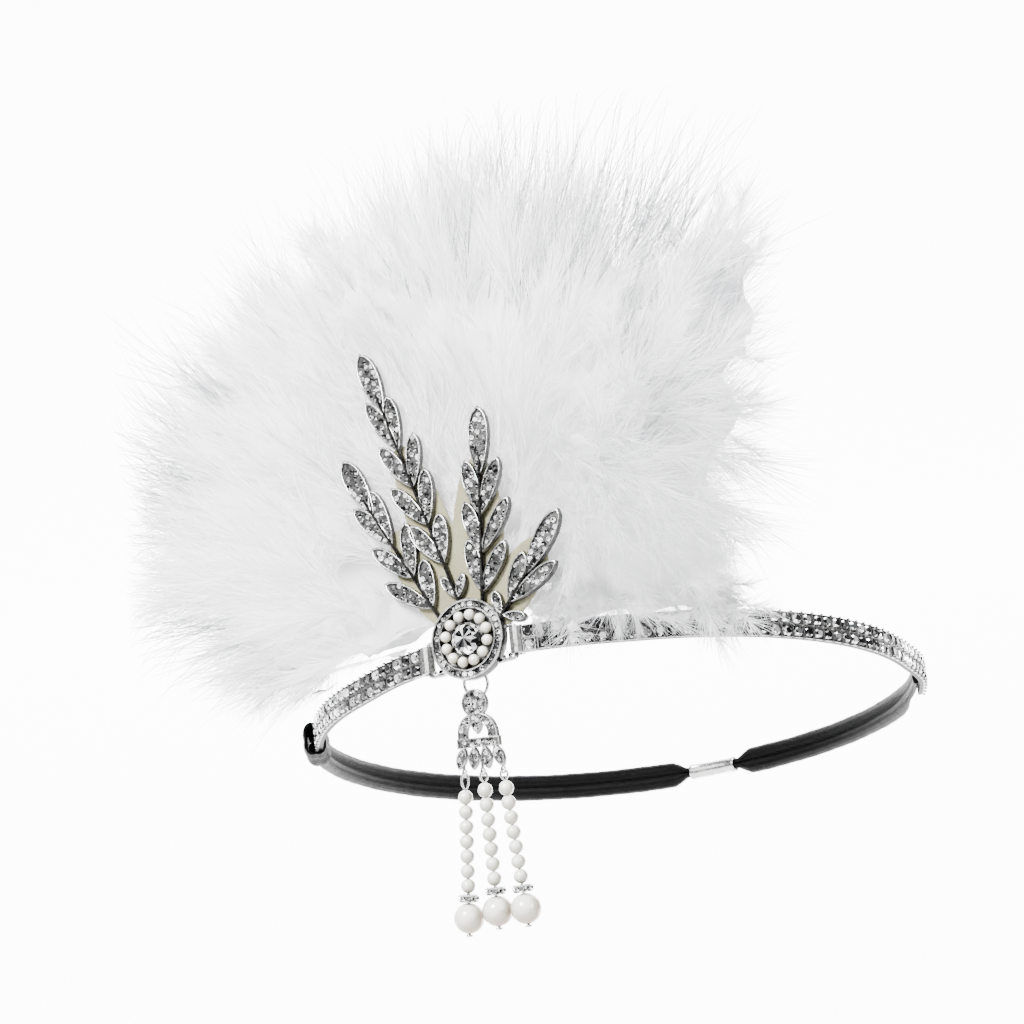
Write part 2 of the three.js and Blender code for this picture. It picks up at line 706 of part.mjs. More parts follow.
const plumeOutline = [ // lean of a lock's tip, its share of plumeReach
  { lean: -90, share: 0.52 },
  { lean: -78, share: 0.66 },
  { lean: -64, share: 0.88 },
  { lean: -50, share: 1.02 },
  { lean: -38, share: 1.06 },
  { lean: -26, share: 1.03 },
  { lean: -4, share: 1.03 },
  { lean: 6, share: 0.97 },
  { lean: 14, share: 0.89 },
  { lean: 25, share: 1.03 },
  { lean: 36, share: 0.92 },
  { lean: 50, share: 0.66 },
  { lean: 66, share: 0.5 },
  { lean: 90, share: 0.44 },
];

const lockLayers = [ // leans of the first and last lock; flares are shares of a lock's length
  { count: 11, from: -84, to: 82, share: 1, flareCentre: -0.16, flareSide: -0.02, width: 0.31, depth: 24 },
  { count: 5, from: -70, to: 68, share: 0.9, flareCentre: -0.27, flareSide: -0.09, width: 0.38, depth: 24 },
  { count: 8, from: -86, to: 84, share: 0.83, flareCentre: 0, flareSide: 0.17, width: 0.36, depth: 24 },
  { count: 3, from: 44, to: 88, share: 0.62, flareCentre: 0.3, flareSide: 0.26, width: 0.44, depth: 15 },
  { count: 2, from: -88, to: -60, share: 0.5, flareCentre: 0.2, flareSide: 0.26, width: 0.44, depth: 15 },
];

const lockTaper = [ // share along a lock, share of its full section
  { along: 0.05, swell: 0.3 },
  { along: 0.45, swell: 0.85 },
  { along: 0.78, swell: 1 },
  { along: 0.93, swell: 0.66 },
];

const wrapRadius = { left: 190, right: 92 }; // how the plume bends round the head on each side
const lockSides = 5;
const lockFoot = 7; // height of the locks' feet above the medallion's centre
const backingSlide = 52; // how far along the band the feet of the rightmost locks stand

function plumeShare(lean) {
  const next = plumeOutline.findIndex((row) => row.lean >= lean);
  const [low, high] = [plumeOutline[next - 1] ?? plumeOutline[0], plumeOutline[next]];
  return low === high ? low.share : lerp(low.share, high.share, (lean - low.lean) / (high.lean - low.lean));
}

// Foot of a lock: on the pad behind the brooch, or along the backing to the right
function lockBase(lean) {
  const slide = smoothstep(lean, 0, 90);
  const u = lean < 0 ? 0.1 * lean : backingSlide * slide;
  const angle = broochAngle + u / ringSpeed(broochAngle);
  const point = ringPoint(angle, lerp(broochStandoff - 3.6, bandLift(angle) + 1.6, slide),
    bandHeight / 2 + clearance + plumeBackingHeight / 2 + (1 - slide) * lockFoot / 2);
  return point.applyMatrix4(broochFrame.clone().invert());
}

function lockSolid(layer, lean) {
  const reach = plumeReach * layer.share * plumeShare(lean);
  const flare = lerp(layer.flareCentre, layer.flareSide, smoothstep(Math.abs(lean), 25, 70));
  const foot = lockBase(lean);
  const tip = new THREE.Vector3(reach * Math.sin(radians(lean)), reach * Math.cos(radians(lean)), 0);
  tip.z = flare * reach - tip.x ** 2 / 2 / (lean < 0 ? wrapRadius.left : wrapRadius.right);
  const control = foot.clone().lerp(tip, 0.5);
  control.y += 0.08 * reach;
  const path = new THREE.QuadraticBezierCurve3(foot, control, tip);
  const rings = lockTaper.map((row) => {
    const centre = path.getPoint(row.along);
    const tangent = path.getTangent(row.along);
    const side = new THREE.Vector3(tangent.y, -tangent.x, 0).normalize();
    const front = new THREE.Vector3().crossVectors(side, tangent);
    const ring = [];
    for (let k = 0; k < lockSides; k += 1) {
      const turn = radians(360 * k / lockSides);
      ring.push(centre.clone()
        .addScaledVector(side, reach * layer.width / 2 * row.swell * Math.cos(turn))
        .addScaledVector(front, layer.depth / 2 * row.swell * Math.sin(turn)));
    }
    return ring;
  });
  return toSolid(loft(rings, tip).applyMatrix4(broochFrame));
}

// Short locks that hang over the band's face to the right of the brooch
const fringeLocks = { count: 6, from: -6, to: 22, width: 13, depth: 4, drop: 11 };

function fringeSolid(angle, index) {
  const face = bandLift(angle) + bandBacking + stoneRise + clearance;
  const drop = fringeLocks.drop * (index % 2 ? 0.8 : 1);
  const top = bandHeight / 2 + clearance + 0.6 * plumeBackingHeight;
  const stations = [ // out of the head, up, share of the full width
    { out: face, up: top, swell: 0.7 },
    { out: face + 0.7 * fringeLocks.depth, up: top - 0.25 * drop, swell: 1 },
    { out: face + 0.75 * fringeLocks.depth, up: top - 0.75 * drop, swell: 0.8 },
  ];
  const rings = stations.map((row) => {
    const centre = ringPoint(angle, row.out, row.up);
    const ring = [];
    for (let k = 0; k < 6; k += 1) {
      const turn = radians(60 * k);
      ring.push(centre.clone()
        .addScaledVector(ringAlong(angle), fringeLocks.width / 2 * row.swell * Math.cos(turn))
        .addScaledVector(ringNormal(angle), fringeLocks.depth / 2 * row.swell * Math.sin(turn)));
    }
    return ring;
  });
  return toSolid(loft(rings, ringPoint(angle, face + 0.5 * fringeLocks.depth, top - 1.3 * drop)));
}

// Backing along the top of the band, and a flat pad behind the brooch
const plumeBack = -2 * clearance - feltThickness; // front of the plume behind the felt

function plumeBacking() {
  const angles = ringStations(rightFoot.angle + foldSpan, plumeBackingEnd, 12);
  const low = bandHeight / 2 + clearance;
  const rings = angles.map((angle) => {
    const lift = bandLift(angle);
    return [[0, low], [plumeBackingDepth, low], [plumeBackingDepth, low + plumeBackingHeight],
      [0, low + plumeBackingHeight]].map(([out, up]) => ringPoint(angle, lift + out, up));
  });
  const pad = new THREE.CylinderGeometry(1, 1, plumeBackingDepth, 12);
  pad.rotateX(Math.PI / 2);
  pad.scale(1.7 * medallionRadius, 0.62 * medallionRadius, 1);
  pad.translate(0.3 * medallionRadius, lockFoot + 0.45 * medallionRadius,
    plumeBack - plumeBackingDepth / 2);
  return [toSolid(loft(rings)), toSolid(pad.applyMatrix4(broochFrame))];
}

// Room for the brooch and its felt, from the plume's back plane forwards
function broochRoom() {
  const margin = medallionRadius + 1;
  const outline = [[-margin, margin], [margin, margin], [-margin, -margin],
    [loopReach + 2, -margin], [loopReach + 2, bandHeight], [-loopReach - 2, -margin],
    [-loopReach - 2, bandHeight]];
  for (const spray of sprays) {
    const root = new THREE.Vector2(spray.rootU, spray.rootV).multiplyScalar(medallionRadius);
    const stem = leanVector(spray.lean, spray.stem * sprayHeight);
    const tip = root.clone().add(stem).add(leanVector(spray.tipLean, tipLeafLength + 2));
    outline.push([tip.x - 2.5, tip.y - 1], [tip.x + 2.5, tip.y - 1]);
    for (const leaf of leaves.filter((row) => row.spray === spray.name)) {
      const length = leaf.size * (leaf.small ? smallLeafLength : leafLength) + 2;
      const end = root.clone().addScaledVector(stem, leaf.along).add(leanVector(leaf.lean, length));
      outline.push([end.x, end.y]);
    }
  }
  // The room widens to the front, so that the feathers round it slope away
  const points = outline.flatMap(([u, v]) => [new THREE.Vector3(u, v, plumeBack),
    new THREE.Vector3(3 * u, 2 * v, plumeReach / 2)]);
  return toSolid(new ConvexGeometry(points).applyMatrix4(broochFrame));
}

// Room for the band, and for the head inside it
function bandRoom() {
  const face = bandBacking + stoneRise + 1.5 * clearance;
  const rings = ringStations(bandLeftEnd, bandRightEnd, 2 * stonePitch).map((angle) =>
    [[-clearance, -1], [face, -1], [face, 1], [-clearance, 1]].map(([out, top]) =>
      ringPoint(angle, bandLift(angle) + out, top * (bandHeight / 2 + clearance))));
  return toSolid(loft(rings));
}

const headShape = [ // height over the band in shares of the head's half width, share of the ring's size
  { up: -0.25, size: 0.96 },
  { up: 0.2, size: 0.96 },
  { up: 0.55, size: 0.88 },
  { up: 0.9, size: 0.6 },
];

function headRoom() {
  const rings = headShape.map((row) => {
    const ring = [];
    for (let k = 0; k < 24; k += 1) {
      const point = ringPoint(15 * k, 0, 0).multiplyScalar(row.size);
      ring.push(point.setZ(row.up * headHalfWidth));
    }
    return ring;
  });
  return toSolid(loft(rings));
}

function makePlume() {
  const locks = lockLayers.flatMap((layer) => {
    const solids = [];
    for (let k = 0; k < layer.count; k += 1) {
      solids.push(lockSolid(layer, lerp(layer.from, layer.to, k / (layer.count - 1))));
    }
    return solids;
  });
  const whole = without(joined([...plumeBacking(), ...locks]), [broochRoom(), bandRoom(), headRoom()]);
  const fringe = [];
  for (let k = 0; k < fringeLocks.count; k += 1) {
    fringe.push(fringeSolid(lerp(fringeLocks.from, fringeLocks.to, k / (fringeLocks.count - 1)), k));
  }
  const plume = toGeometry(joined([whole, ...fringe]).subtract(bandRoom()));
  return named('marabou_plume', largest(toSolid(plume)), white);
}

// Drop: x to the right, -y to the front, z up, from the centre of the brooch's staple hole

function wireRing(radius, wire, turns, sides) {
  const ring = new THREE.TorusGeometry(radius, wire, sides, turns);
  return ring.rotateX(Math.PI / 2);
}

function dropLink() {
  const link = wireRing(linkRadius, linkWire, 20, 6);
  return named('drop_link', link.translate(0, 0, -linkRadius), silver);
}

const dropBack = -stapleHole; // back face of the drop casting
const dropHook = -2 * linkRadius; // centre of the drop's own staple
const discCentre = dropHook - dropDiscDrop;
const archTop = discCentre - 0.6 * dropDiscRadius;
const barTop = archTop - archHeight;
const barMiddle = barTop - barHeight / 2;
const navetteTop = barTop - barHeight + 0.35;

// Plate of the drop with a raised rim round a sunken field
function dropPlate(outline, place) {
  const plate = extruded(outline(0), dropThickness, 4);
  const field = extruded(outline(dropRim), dropThickness, 4);
  field.translate(0, 0, dropThickness - 0.25 * dropThickness);
  return toSolid(plate.applyMatrix4(place)).subtract(toSolid(field.applyMatrix4(place)));
}

function dropPlace(x, z, lean = 0) {
  return new THREE.Matrix4().makeTranslation(x, dropBack, z)
    .multiply(new THREE.Matrix4().makeRotationX(Math.PI / 2))
    .multiply(new THREE.Matrix4().makeRotationZ(-radians(lean)));
}

function circleOutline(radius) {
  return (inset) => new THREE.Shape().absarc(0, 0, radius - inset, 0, 2 * Math.PI);
}

function navetteOutline(length, width) {
  return (inset) => {
    const half = width / 2 - inset;
    const end = length / 2 - 1.7 * inset;
    const shape = new THREE.Shape();
    shape.moveTo(0, end);
    shape.bezierCurveTo(1.3 * half, 0.45 * end, 1.3 * half, -0.45 * end, 0, -end);
    shape.bezierCurveTo(-1.3 * half, -0.45 * end, -1.3 * half, 0.45 * end, 0, end);
    return shape;
  };
}

function archOutline(inset) {
  const [outerWidth, outerHeight] = [archHalfWidth - inset, archHeight - inset];
  const inner = scrollWidth - inset;
  const shape = new THREE.Shape();
  shape.moveTo(outerWidth, inset);
  shape.bezierCurveTo(1.05 * outerWidth, 0.62 * outerHeight, 0.6 * outerWidth, outerHeight, 0, outerHeight);
  shape.bezierCurveTo(-0.6 * outerWidth, outerHeight, -1.05 * outerWidth, 0.62 * outerHeight,
    -outerWidth, inset);
  shape.lineTo(inner - archHalfWidth, inset);
  shape.quadraticCurveTo(inner - archHalfWidth, archHeight - inner, 0, archHeight - inner);
  shape.quadraticCurveTo(archHalfWidth - inner, archHeight - inner, archHalfWidth - inner, inset);
  return shape;
}

function barOutline(inset) {
  const [halfWidth, halfHeight] = [barWidth / 2 - inset, barHeight / 2 - inset];
  const shape = new THREE.Shape();
  shape.moveTo(-halfWidth, -halfHeight);
  shape.lineTo(halfWidth, -halfHeight);
  shape.lineTo(halfWidth, halfHeight);
  shape.lineTo(-halfWidth, halfHeight);
  return shape;
}

const navetteFan = [ // place along the bar and lean, for each of the four navettes
  { share: -0.36, lean: 20 },
  { share: -0.12, lean: 7 },
  { share: 0.12, lean: -6 },
  { share: 0.36, lean: -19 },
];

const strandRows = [ // eye's place in shares of the bar's width, drop of the pearls below the eye, splay
  { side: 'left', place: -0.42, loop: 4.3, splay: -5.2 },
  { side: 'middle', place: 0.02, loop: 2.9, splay: -0.4 },
  { side: 'right', place: 0.5, loop: 2.9, splay: 3.4 },
];

const navetteFoot = navetteTop - navetteLength;
const eyeHole = eyeRadius - eyeWire;
const eyeCentre = navetteFoot - eyeHole + 0.1;
const dropMiddle = dropBack - dropThickness / 2; // y of the casting's mid plane

function dropCasting() {
  const staple = stapleSolid(stapleHole + 0.4 * dropThickness);
  staple.rotateX(Math.PI / 2);
  staple.translate(0, 0, dropHook);
  const solids = [
    dropPlate(circleOutline(dropDiscRadius), dropPlace(0, discCentre)),
    dropPlate(archOutline, dropPlace(0, barTop - 0.2)),
    dropPlate(navetteOutline(archHeight - 0.6, 3), dropPlace(0, archTop - 0.45 * archHeight + 0.2)),
    dropPlate(barOutline, dropPlace(0, barMiddle)),
    toSolid(staple),
  ];
  for (const row of navetteFan) {
    const along = leanVector(row.lean, navetteLength / 2);
    solids.push(dropPlate(navetteOutline(navetteLength, navetteWidth),
      dropPlace(row.share * barWidth - along.x, navetteTop - along.y, row.lean)));
  }
  for (const row of strandRows) {
    const eye = new THREE.TorusGeometry(eyeRadius, eyeWire, 5, 10).rotateY(Math.PI / 2);
    const post = new THREE.CylinderGeometry(1.6 * eyeWire, 1.2 * eyeWire, 0.5 * navetteLength, 6);
    post.rotateX(Math.PI / 2).translate(0, 0, eyeRadius + 0.25 * navetteLength - 0.1);
    const place = [row.place * barWidth, dropMiddle, eyeCentre];
    solids.push(toSolid(eye.translate(...place)), toSolid(post.translate(...place)));
  }
  return named('drop_casting', joined(solids), silver);
}

// Seven small pearls, the pin through the rondelle and the end pearl, and the pin's head
const pearlsLength = smallPearlCount * smallPearlPitch;
const rondelleTop = pearlsLength + clearance;
const endPearlTop = rondelleTop + rondelleHeight + clearance;
const boreRadius = pinRadius + clearance;
const endPearlFlat = Math.sqrt(endPearlRadius ** 2 - boreRadius ** 2);
const endPearlCentre = endPearlTop + endPearlFlat;
const pinHeadTop = endPearlCentre + endPearlFlat + clearance;

function strandProfile() {
  const profile = [[0, 0]];
  const neck = Math.acos(smallPearlPitch / 2 / smallPearlRadius);
  for (let k = 0; k < smallPearlCount; k += 1) {
    const centre = smallPearlPitch * (k + 0.5);
    const steps = 4;
    for (let step = k ? 1 : 0; step <= steps; step += 1) {
      const turn = lerp(neck, Math.PI - neck, step / steps);
      profile.push([smallPearlRadius * Math.sin(turn), centre - smallPearlRadius * Math.cos(turn)]);
    }
  }
  profile.push([pinRadius, pearlsLength], [pinRadius, pinHeadTop], [pinHeadRadius, pinHeadTop],
    [pinHeadRadius, pinHeadTop + pinHeadHeight], [0, pinHeadTop + pinHeadHeight]);
  return profile;
}

// Turned solid that hangs from the pearls' top, lathed downwards
function hanging(profile, segments) {
  return lathed(profile, segments).rotateX(-Math.PI / 2);
}

// Narrow wire loop at the top of a pin, which passes through the casting's eye
function pinLoop(loop) {
  const halfWidth = 1.05;
  const low = -loop + 0.3;
  const corners = [[0, low - 0.5], [halfWidth, 0.5 * low], [0.55 * halfWidth, -0.1], [0, 0.02],
    [-0.55 * halfWidth, -0.1], [-halfWidth, 0.5 * low]].map(([x, z]) => new THREE.Vector3(x, 0, z));
  const path = new THREE.CatmullRomCurve3(corners, true, 'catmullrom', 0.6);
  const rings = [];
  const steps = 12;
  for (let k = 0; k < steps; k += 1) {
    const centre = path.getPoint(k / steps);
    const tangent = path.getTangent(k / steps);
    const side = new THREE.Vector3(tangent.z, 0, -tangent.x);
    const ring = [];
    for (let turn = 0; turn < 5; turn += 1) {
      const angle = radians(72 * turn);
      ring.push(centre.clone().addScaledVector(side, eyeWire * Math.cos(angle))
        .add(new THREE.Vector3(0, eyeWire * Math.sin(angle), 0)));
    }
    rings.push(ring);
  }
  const points = rings.flat();
  const faces = [];
  for (let k = 0; k < steps; k += 1) {
    for (let turn = 0; turn < 5; turn += 1) {
      const next = (k + 1) % steps;
      const [a, b] = [k * 5 + turn, k * 5 + (turn + 1) % 5];
      const [c, d] = [next * 5 + (turn + 1) % 5, next * 5 + turn];
      faces.push([a, b, c], [a, c, d]);
    }
  }
  return toSolid(closedGeometry(points, faces));
}

function strandPieces(row) {
  const strand = new THREE.Group();
  strand.position.set(row.place * barWidth, dropMiddle, eyeCentre);
  strand.rotation.y = -radians(row.splay);
  const beads = hanging(strandProfile(), 10).translate(0, 0, -row.loop);
  const rondelle = hanging([
    [boreRadius, rondelleTop], [0.8 * rondelleRadius, rondelleTop],
    [rondelleRadius, rondelleTop + 0.5 * rondelleHeight],
    [0.8 * rondelleRadius, rondelleTop + rondelleHeight],
    [boreRadius, rondelleTop + rondelleHeight], [boreRadius, rondelleTop],
  ], 12).translate(0, 0, -row.loop);
  const steps = 6;
  const bore = Math.asin(boreRadius / endPearlRadius);
  const round = [];
  for (let step = 0; step <= steps; step += 1) {
    const turn = lerp(bore, Math.PI - bore, step / steps);
    round.push([endPearlRadius * Math.sin(turn), endPearlCentre - endPearlRadius * Math.cos(turn)]);
  }
  const endPearl = hanging([...round, round[0]], 12).translate(0, 0, -row.loop);
  strand.add(
    named(`pearl_strand_${row.side}`, toSolid(beads).add(pinLoop(row.loop)), pearl),
    named(`rondelle_${row.side}`, rondelle, silver),
    named(`end_pearl_${row.side}`, endPearl, pearl),
  );
  return strand;
}

function makeDrop(ring) {
  const drop = new THREE.Group();
  ring.updateMatrixWorld(true);
  drop.position.copy(broochPoint(dropShift, -stapleDrop, -stapleHole).applyMatrix4(ring.matrixWorld));
  const front = ringNormal(broochAngle).transformDirection(ring.matrixWorld);
  drop.rotation.z = Math.atan2(front.x, -front.y);
  drop.add(dropLink(), dropCasting(), ...strandRows.map(strandPieces));
  return drop;
}

const ring = new THREE.Group();
ring.rotation.x = -radians(ringTilt);
ring.add(...makeBands(), ...makeElastic(), makeBrooch(), makePlume());

const headband = new THREE.Group();
headband.add(ring, makeDrop(ring));
headband.updateMatrixWorld(true);

export default headband;
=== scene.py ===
import math

import bmesh
import bpy
import numpy as np
from mathutils import Matrix, Vector
from mathutils.geometry import convex_hull_2d


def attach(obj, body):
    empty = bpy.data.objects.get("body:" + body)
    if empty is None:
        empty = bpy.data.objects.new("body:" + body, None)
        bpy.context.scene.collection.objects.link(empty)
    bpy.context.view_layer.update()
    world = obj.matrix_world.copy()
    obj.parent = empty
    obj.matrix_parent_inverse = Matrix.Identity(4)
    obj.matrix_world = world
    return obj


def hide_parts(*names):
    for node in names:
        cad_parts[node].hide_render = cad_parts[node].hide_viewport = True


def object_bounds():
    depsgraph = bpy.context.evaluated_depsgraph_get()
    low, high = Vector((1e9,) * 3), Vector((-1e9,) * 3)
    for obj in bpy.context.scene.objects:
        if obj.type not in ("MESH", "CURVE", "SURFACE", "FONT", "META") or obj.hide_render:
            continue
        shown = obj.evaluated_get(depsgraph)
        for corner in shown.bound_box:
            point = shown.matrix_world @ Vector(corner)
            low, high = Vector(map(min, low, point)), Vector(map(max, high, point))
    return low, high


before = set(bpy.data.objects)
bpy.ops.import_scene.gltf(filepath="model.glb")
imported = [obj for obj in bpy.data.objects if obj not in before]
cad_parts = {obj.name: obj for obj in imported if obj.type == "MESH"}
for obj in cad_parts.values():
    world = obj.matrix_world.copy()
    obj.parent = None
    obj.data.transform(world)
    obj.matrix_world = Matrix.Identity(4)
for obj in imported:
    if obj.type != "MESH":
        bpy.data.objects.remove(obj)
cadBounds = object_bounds()
mm = 0.001
print("frame loaded:", len(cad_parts), "nodes")


# Camera, level with the head ring, a metre in front of it

camera = {
    "distance": 1.0,
    "lens": 126.4,
    "sensor": 36.0,
    "image": 1024,
    "ringAt": (617, 712),  # where the ring's centre falls in the image
    "roll": 6.4,
}


def placed(name, data):
    piece = bpy.data.objects.new(name, data)
    bpy.context.collection.objects.link(piece)
    return piece


def makeCamera():
    data = bpy.data.cameras.new("camera")
    data.lens = camera["lens"]
    data.clip_end = 20
    eye = placed("camera", data)
    middle = camera["image"] / 2
    focal = camera["lens"] / camera["sensor"] * camera["image"]
    across, down = camera["ringAt"]
    ahead = Vector((across - middle, middle - down, -focal)).normalized()
    roll = math.radians(camera["roll"])
    up = Vector((-math.sin(roll), math.cos(roll), 0))
    up = (up - ahead * up.dot(ahead)).normalized()
    seen = Matrix((ahead.cross(up), ahead, up))  # rows: right, ahead and up as the camera has them
    eye.matrix_world = Matrix.Translation((0, -camera["distance"], 0)) @ seen.to_4x4()
    bpy.context.scene.camera = eye


makeCamera()


# Node trees, and shader sockets with arithmetic

def addNode(tree, kind, settings=None, values=None):
    made = tree.nodes.new(kind)
    for key, value in (settings or {}).items():
        setattr(made, key, value)
    for key, value in (values or {}).items():
        value = getattr(value, "socket", value)
        if isinstance(value, bpy.types.NodeSocket):
            tree.links.new(value, made.inputs[key])
        else:
            made.inputs[key].default_value = value
    return made


class Level:
    def __init__(self, finish, socket):
        self.finish = finish
        self.socket = socket

    def maths(self, operation, other):
        return self.finish.node("ShaderNodeMath", {"operation": operation}, {0: self, 1: other})

    def __add__(self, other):
        return self.maths("ADD", other)

    def __sub__(self, other):
        return self.maths("SUBTRACT", other)

    def __mul__(self, other):
        return self.maths("MULTIPLY", other)

    def wave(self):
        return self.maths("SINE", 0)

    __radd__ = __add__
    __rmul__ = __mul__


class Finish:
    def __init__(self, name, **constants):
        self.material = bpy.data.materials.new(name)
        self.material.use_nodes = True
        self.tree = self.material.node_tree
        self.shader = self.tree.nodes["Principled BSDF"]
        for key, value in constants.items():
            self.shader.inputs[key.replace("_", " ")].default_value = value

    def node(self, kind, settings=None, values=None, out=0):
        return Level(self, addNode(self.tree, kind, settings, values).outputs[out])

    def set(self, key, value):
        self.tree.links.new(value.socket, self.shader.inputs[key])

    def read(self, attribute):
        return self.node("ShaderNodeAttribute", {"attribute_name": attribute}, out="Fac")

    def noise(self, scale, detail=3, roughness=0.5):
        place = self.node("ShaderNodeTexCoord", out="Object")
        return self.node("ShaderNodeTexNoise", None, {
            "Vector": place, "Scale": scale, "Detail": detail, "Roughness": roughness})

    def colours(self, amount, stops):
        made = addNode(self.tree, "ShaderNodeValToRGB", None, {"Fac": amount})
        elements = made.color_ramp.elements
        while len(elements) < len(stops):
            elements.new(0.5)
        for element, (place, colour) in zip(elements, stops):
            element.position = place
            element.color = (*colour[:3], 1)
        return Level(self, made.outputs[0])

    def mix(self, amount, first, second):
        return self.node("ShaderNodeMix", {"data_type": "RGBA"}, {0: amount, 6: first, 7: second}, out=2)

    def relief(self, height, distance, strength):
        self.set("Normal", self.node("ShaderNodeBump", None, {
            "Height": height, "Distance": distance, "Strength": strength}))


def grey(value):
    return (value, value, value, 1)


def antiqueSilver(name, dark, light, seed, metallic=1.0):
    finish = Finish(name, Metallic=metallic, IOR=1.5)
    blotch = finish.noise(900 + seed, 4)
    wear = finish.noise(140 + seed, 3)
    finish.set("Base Color", finish.colours(blotch * 0.6 + wear * 0.4, [
        (0.3, (dark * 0.96, dark * 0.98, dark)), (0.5, (light * 0.8, light * 0.8, light * 0.78)),
        (0.7, (light, light * 0.995, light * 0.97))]))
    finish.set("Roughness", 0.16 + 0.22 * blotch)
    finish.relief(finish.noise(2600, 2), 0.00004, 0.5)
    return finish.material


def facetStone(name, stops, roughness, glint, lots):
    # lots: how far a whole stone keeps one brightness, rather than each facet its own
    finish = Finish(name, Roughness=roughness, Metallic=1.0, IOR=1.7, Coat_Weight=0.35, Coat_Roughness=0.02,
                    Emission_Strength=glint)
    # painted reflections: each facet takes a random dark or bright base colour, and the brightest facets glow as
    # painted glints
    spark = finish.read("spark") * (1 - lots) + lots * finish.read("lot")
    finish.set("Base Color", finish.colours(spark, stops))
    finish.set("Emission Color", finish.colours(spark, glintStops))
    return finish.material


def pearlWithPaintedLight(name, below, middle, above):
    # painted light: the base colour is brightest towards the upper front as a painted highlight and darker on the
    # underside as painted shade, warm on the end pearls
    finish = Finish(name, Roughness=0.22, IOR=1.6, Coat_Weight=0.8, Coat_Roughness=0.07)
    cloud = finish.noise(320, 3)
    facing = finish.node("ShaderNodeVectorMath", {"operation": "DOT_PRODUCT"}, {
        0: finish.node("ShaderNodeTexCoord", out="Normal"), 1: (-0.3, -0.76, 0.58)}, out="Value")
    finish.set("Base Color", finish.colours(facing * 0.5 + 0.42 + 0.16 * cloud, [
        (0.2, below), (0.56, [(a + b) / 2 for a, b in zip(below, middle)]), (0.78, middle), (0.96, above)]))
    finish.set("Roughness", 0.16 + 0.14 * finish.noise(1500, 2))
    return finish.material


def braid(name, pitch, colour):
    finish = Finish(name, Roughness=0.5, IOR=1.12)
    uv = finish.node("ShaderNodeUVMap", {"uv_map": "weave"})
    parts = finish.tree.nodes.new("ShaderNodeSeparateXYZ")
    finish.tree.links.new(uv.socket, parts.inputs[0])
    along, around = Level(finish, parts.outputs[0]), Level(finish, parts.outputs[1])
    left = (along * pitch + around * 60).wave()
    right = (along * pitch - around * 60).wave()
    weave = left * right * 0.5 + 0.5
    fuzz = finish.noise(1800, 3)
    finish.set("Base Color", finish.colours(weave * 0.7 + fuzz * 0.3, [
        (0.2, grey(colour * 0.45)), (0.75, grey(colour)), (1.0, grey(colour * 1.7))]))
    finish.set("Roughness", 0.3 + 0.24 * fuzz)
    finish.relief(weave * 0.8 + fuzz * 0.3, 0.00018, 0.9)
    return finish.material


def feltCloth(name):
    finish = Finish(name, Roughness=0.95, IOR=1.4, Sheen_Weight=0.4)
    fibres = finish.noise(2400, 5, roughness=0.7)
    patch = finish.noise(160, 3)
    finish.set("Base Color", finish.colours(fibres * 0.6 + patch * 0.4, [
        (0.3, (0.2, 0.185, 0.1)), (0.55, (0.28, 0.265, 0.16)), (0.8, (0.36, 0.345, 0.23))]))
    finish.relief(fibres, 0.0003, 0.8)
    return finish.material


def down(name, shade, base, glow):
    # each barb has its own random tone, with painted shade darker at its root, and a painted glow in its emission
    finish = Finish(name, Roughness=0.75, IOR=1.4, Sheen_Weight=0.3, Emission_Strength=glow)
    tone = finish.read("tone")
    finish.set("Emission Color", finish.mix(tone, grey(0.4), (0.98, 0.985, 1.0, 1)))
    finish.set("Base Color", finish.mix(tone + 0.25 * (finish.noise(60, 3) - 0.5), (*shade, 1), (*base, 1)))
    return finish.material


def greys(*stops):
    return [(place, grey(value)) for place, value in stops]


# stops for the stones' painted reflections, from dark to bright facets, and for their painted glints
sparkStops = greys((0, 0.01), (0.3, 0.02), (0.42, 0.22), (0.55, 0.55), (0.68, 0.95), (1, 1))
bandStops = greys((0, 0.005), (0.4, 0.02), (0.5, 0.14), (0.6, 0.45), (0.74, 0.85), (1, 0.95))
glintStops = greys((0, 0), (0.55, 0), (0.68, 0.3), (0.85, 1))
finishes = {
    "silver": antiqueSilver("antiqueSilver", 0.3, 0.62, 0),
    # dark finish for recess floors and walls: antique patina and painted shade
    "patina": antiqueSilver("darkPatina", 0.03, 0.12, 20),
    "stem": antiqueSilver("darkStems", 0.006, 0.03, 40),
    "rim": antiqueSilver("polishedRims", 0.35, 0.72, 30),
    "cup": antiqueSilver("stoneCups", 0.02, 0.2, 60, 0.55),
    "stone": facetStone("clearStones", bandStops, 0.08, 1.0, 0.4),
    "pave": facetStone("smallStones", sparkStops, 0.08, 4.0, 0.45),
    "crystal": facetStone("clearCrystal", sparkStops, 0.04, 2.5, 0),
    "pearl": pearlWithPaintedLight("creamPearl", (0.16, 0.14, 0.1), (0.42, 0.405, 0.33), (0.9, 0.89, 0.84)),
    "endPearl": pearlWithPaintedLight("warmPearl", (0.26, 0.13, 0.06), (0.46, 0.43, 0.35), (0.9, 0.88, 0.83)),
    "braid": braid("blackBraid", 9000, 0.007),
    "wrap": braid("blackWrap", 9000, 0.004),
    "felt": feltCloth("creamFelt"),
    # down finishes: the grey shade colours are painted shade, the long barbs and the heart are greyed as painted
    # shade, and the emission is a painted glow
    "down": down("whiteDown", (0.45, 0.46, 0.48), (0.99, 0.99, 0.99), 1.4),
    "wisps": down("longBarbs", (0.22, 0.23, 0.25), (0.46, 0.47, 0.49), 0.05),
    "fringe": down("shadedDown", (0.3, 0.31, 0.33), (0.95, 0.95, 0.96), 0.7),
    "heart": down("downHeart", (0.7, 0.7, 0.72), (0.7, 0.7, 0.72), 0.6),
}
print("finishes made:", len(finishes))


# Frames of the head ring, the brooch and the drop, in millimetres

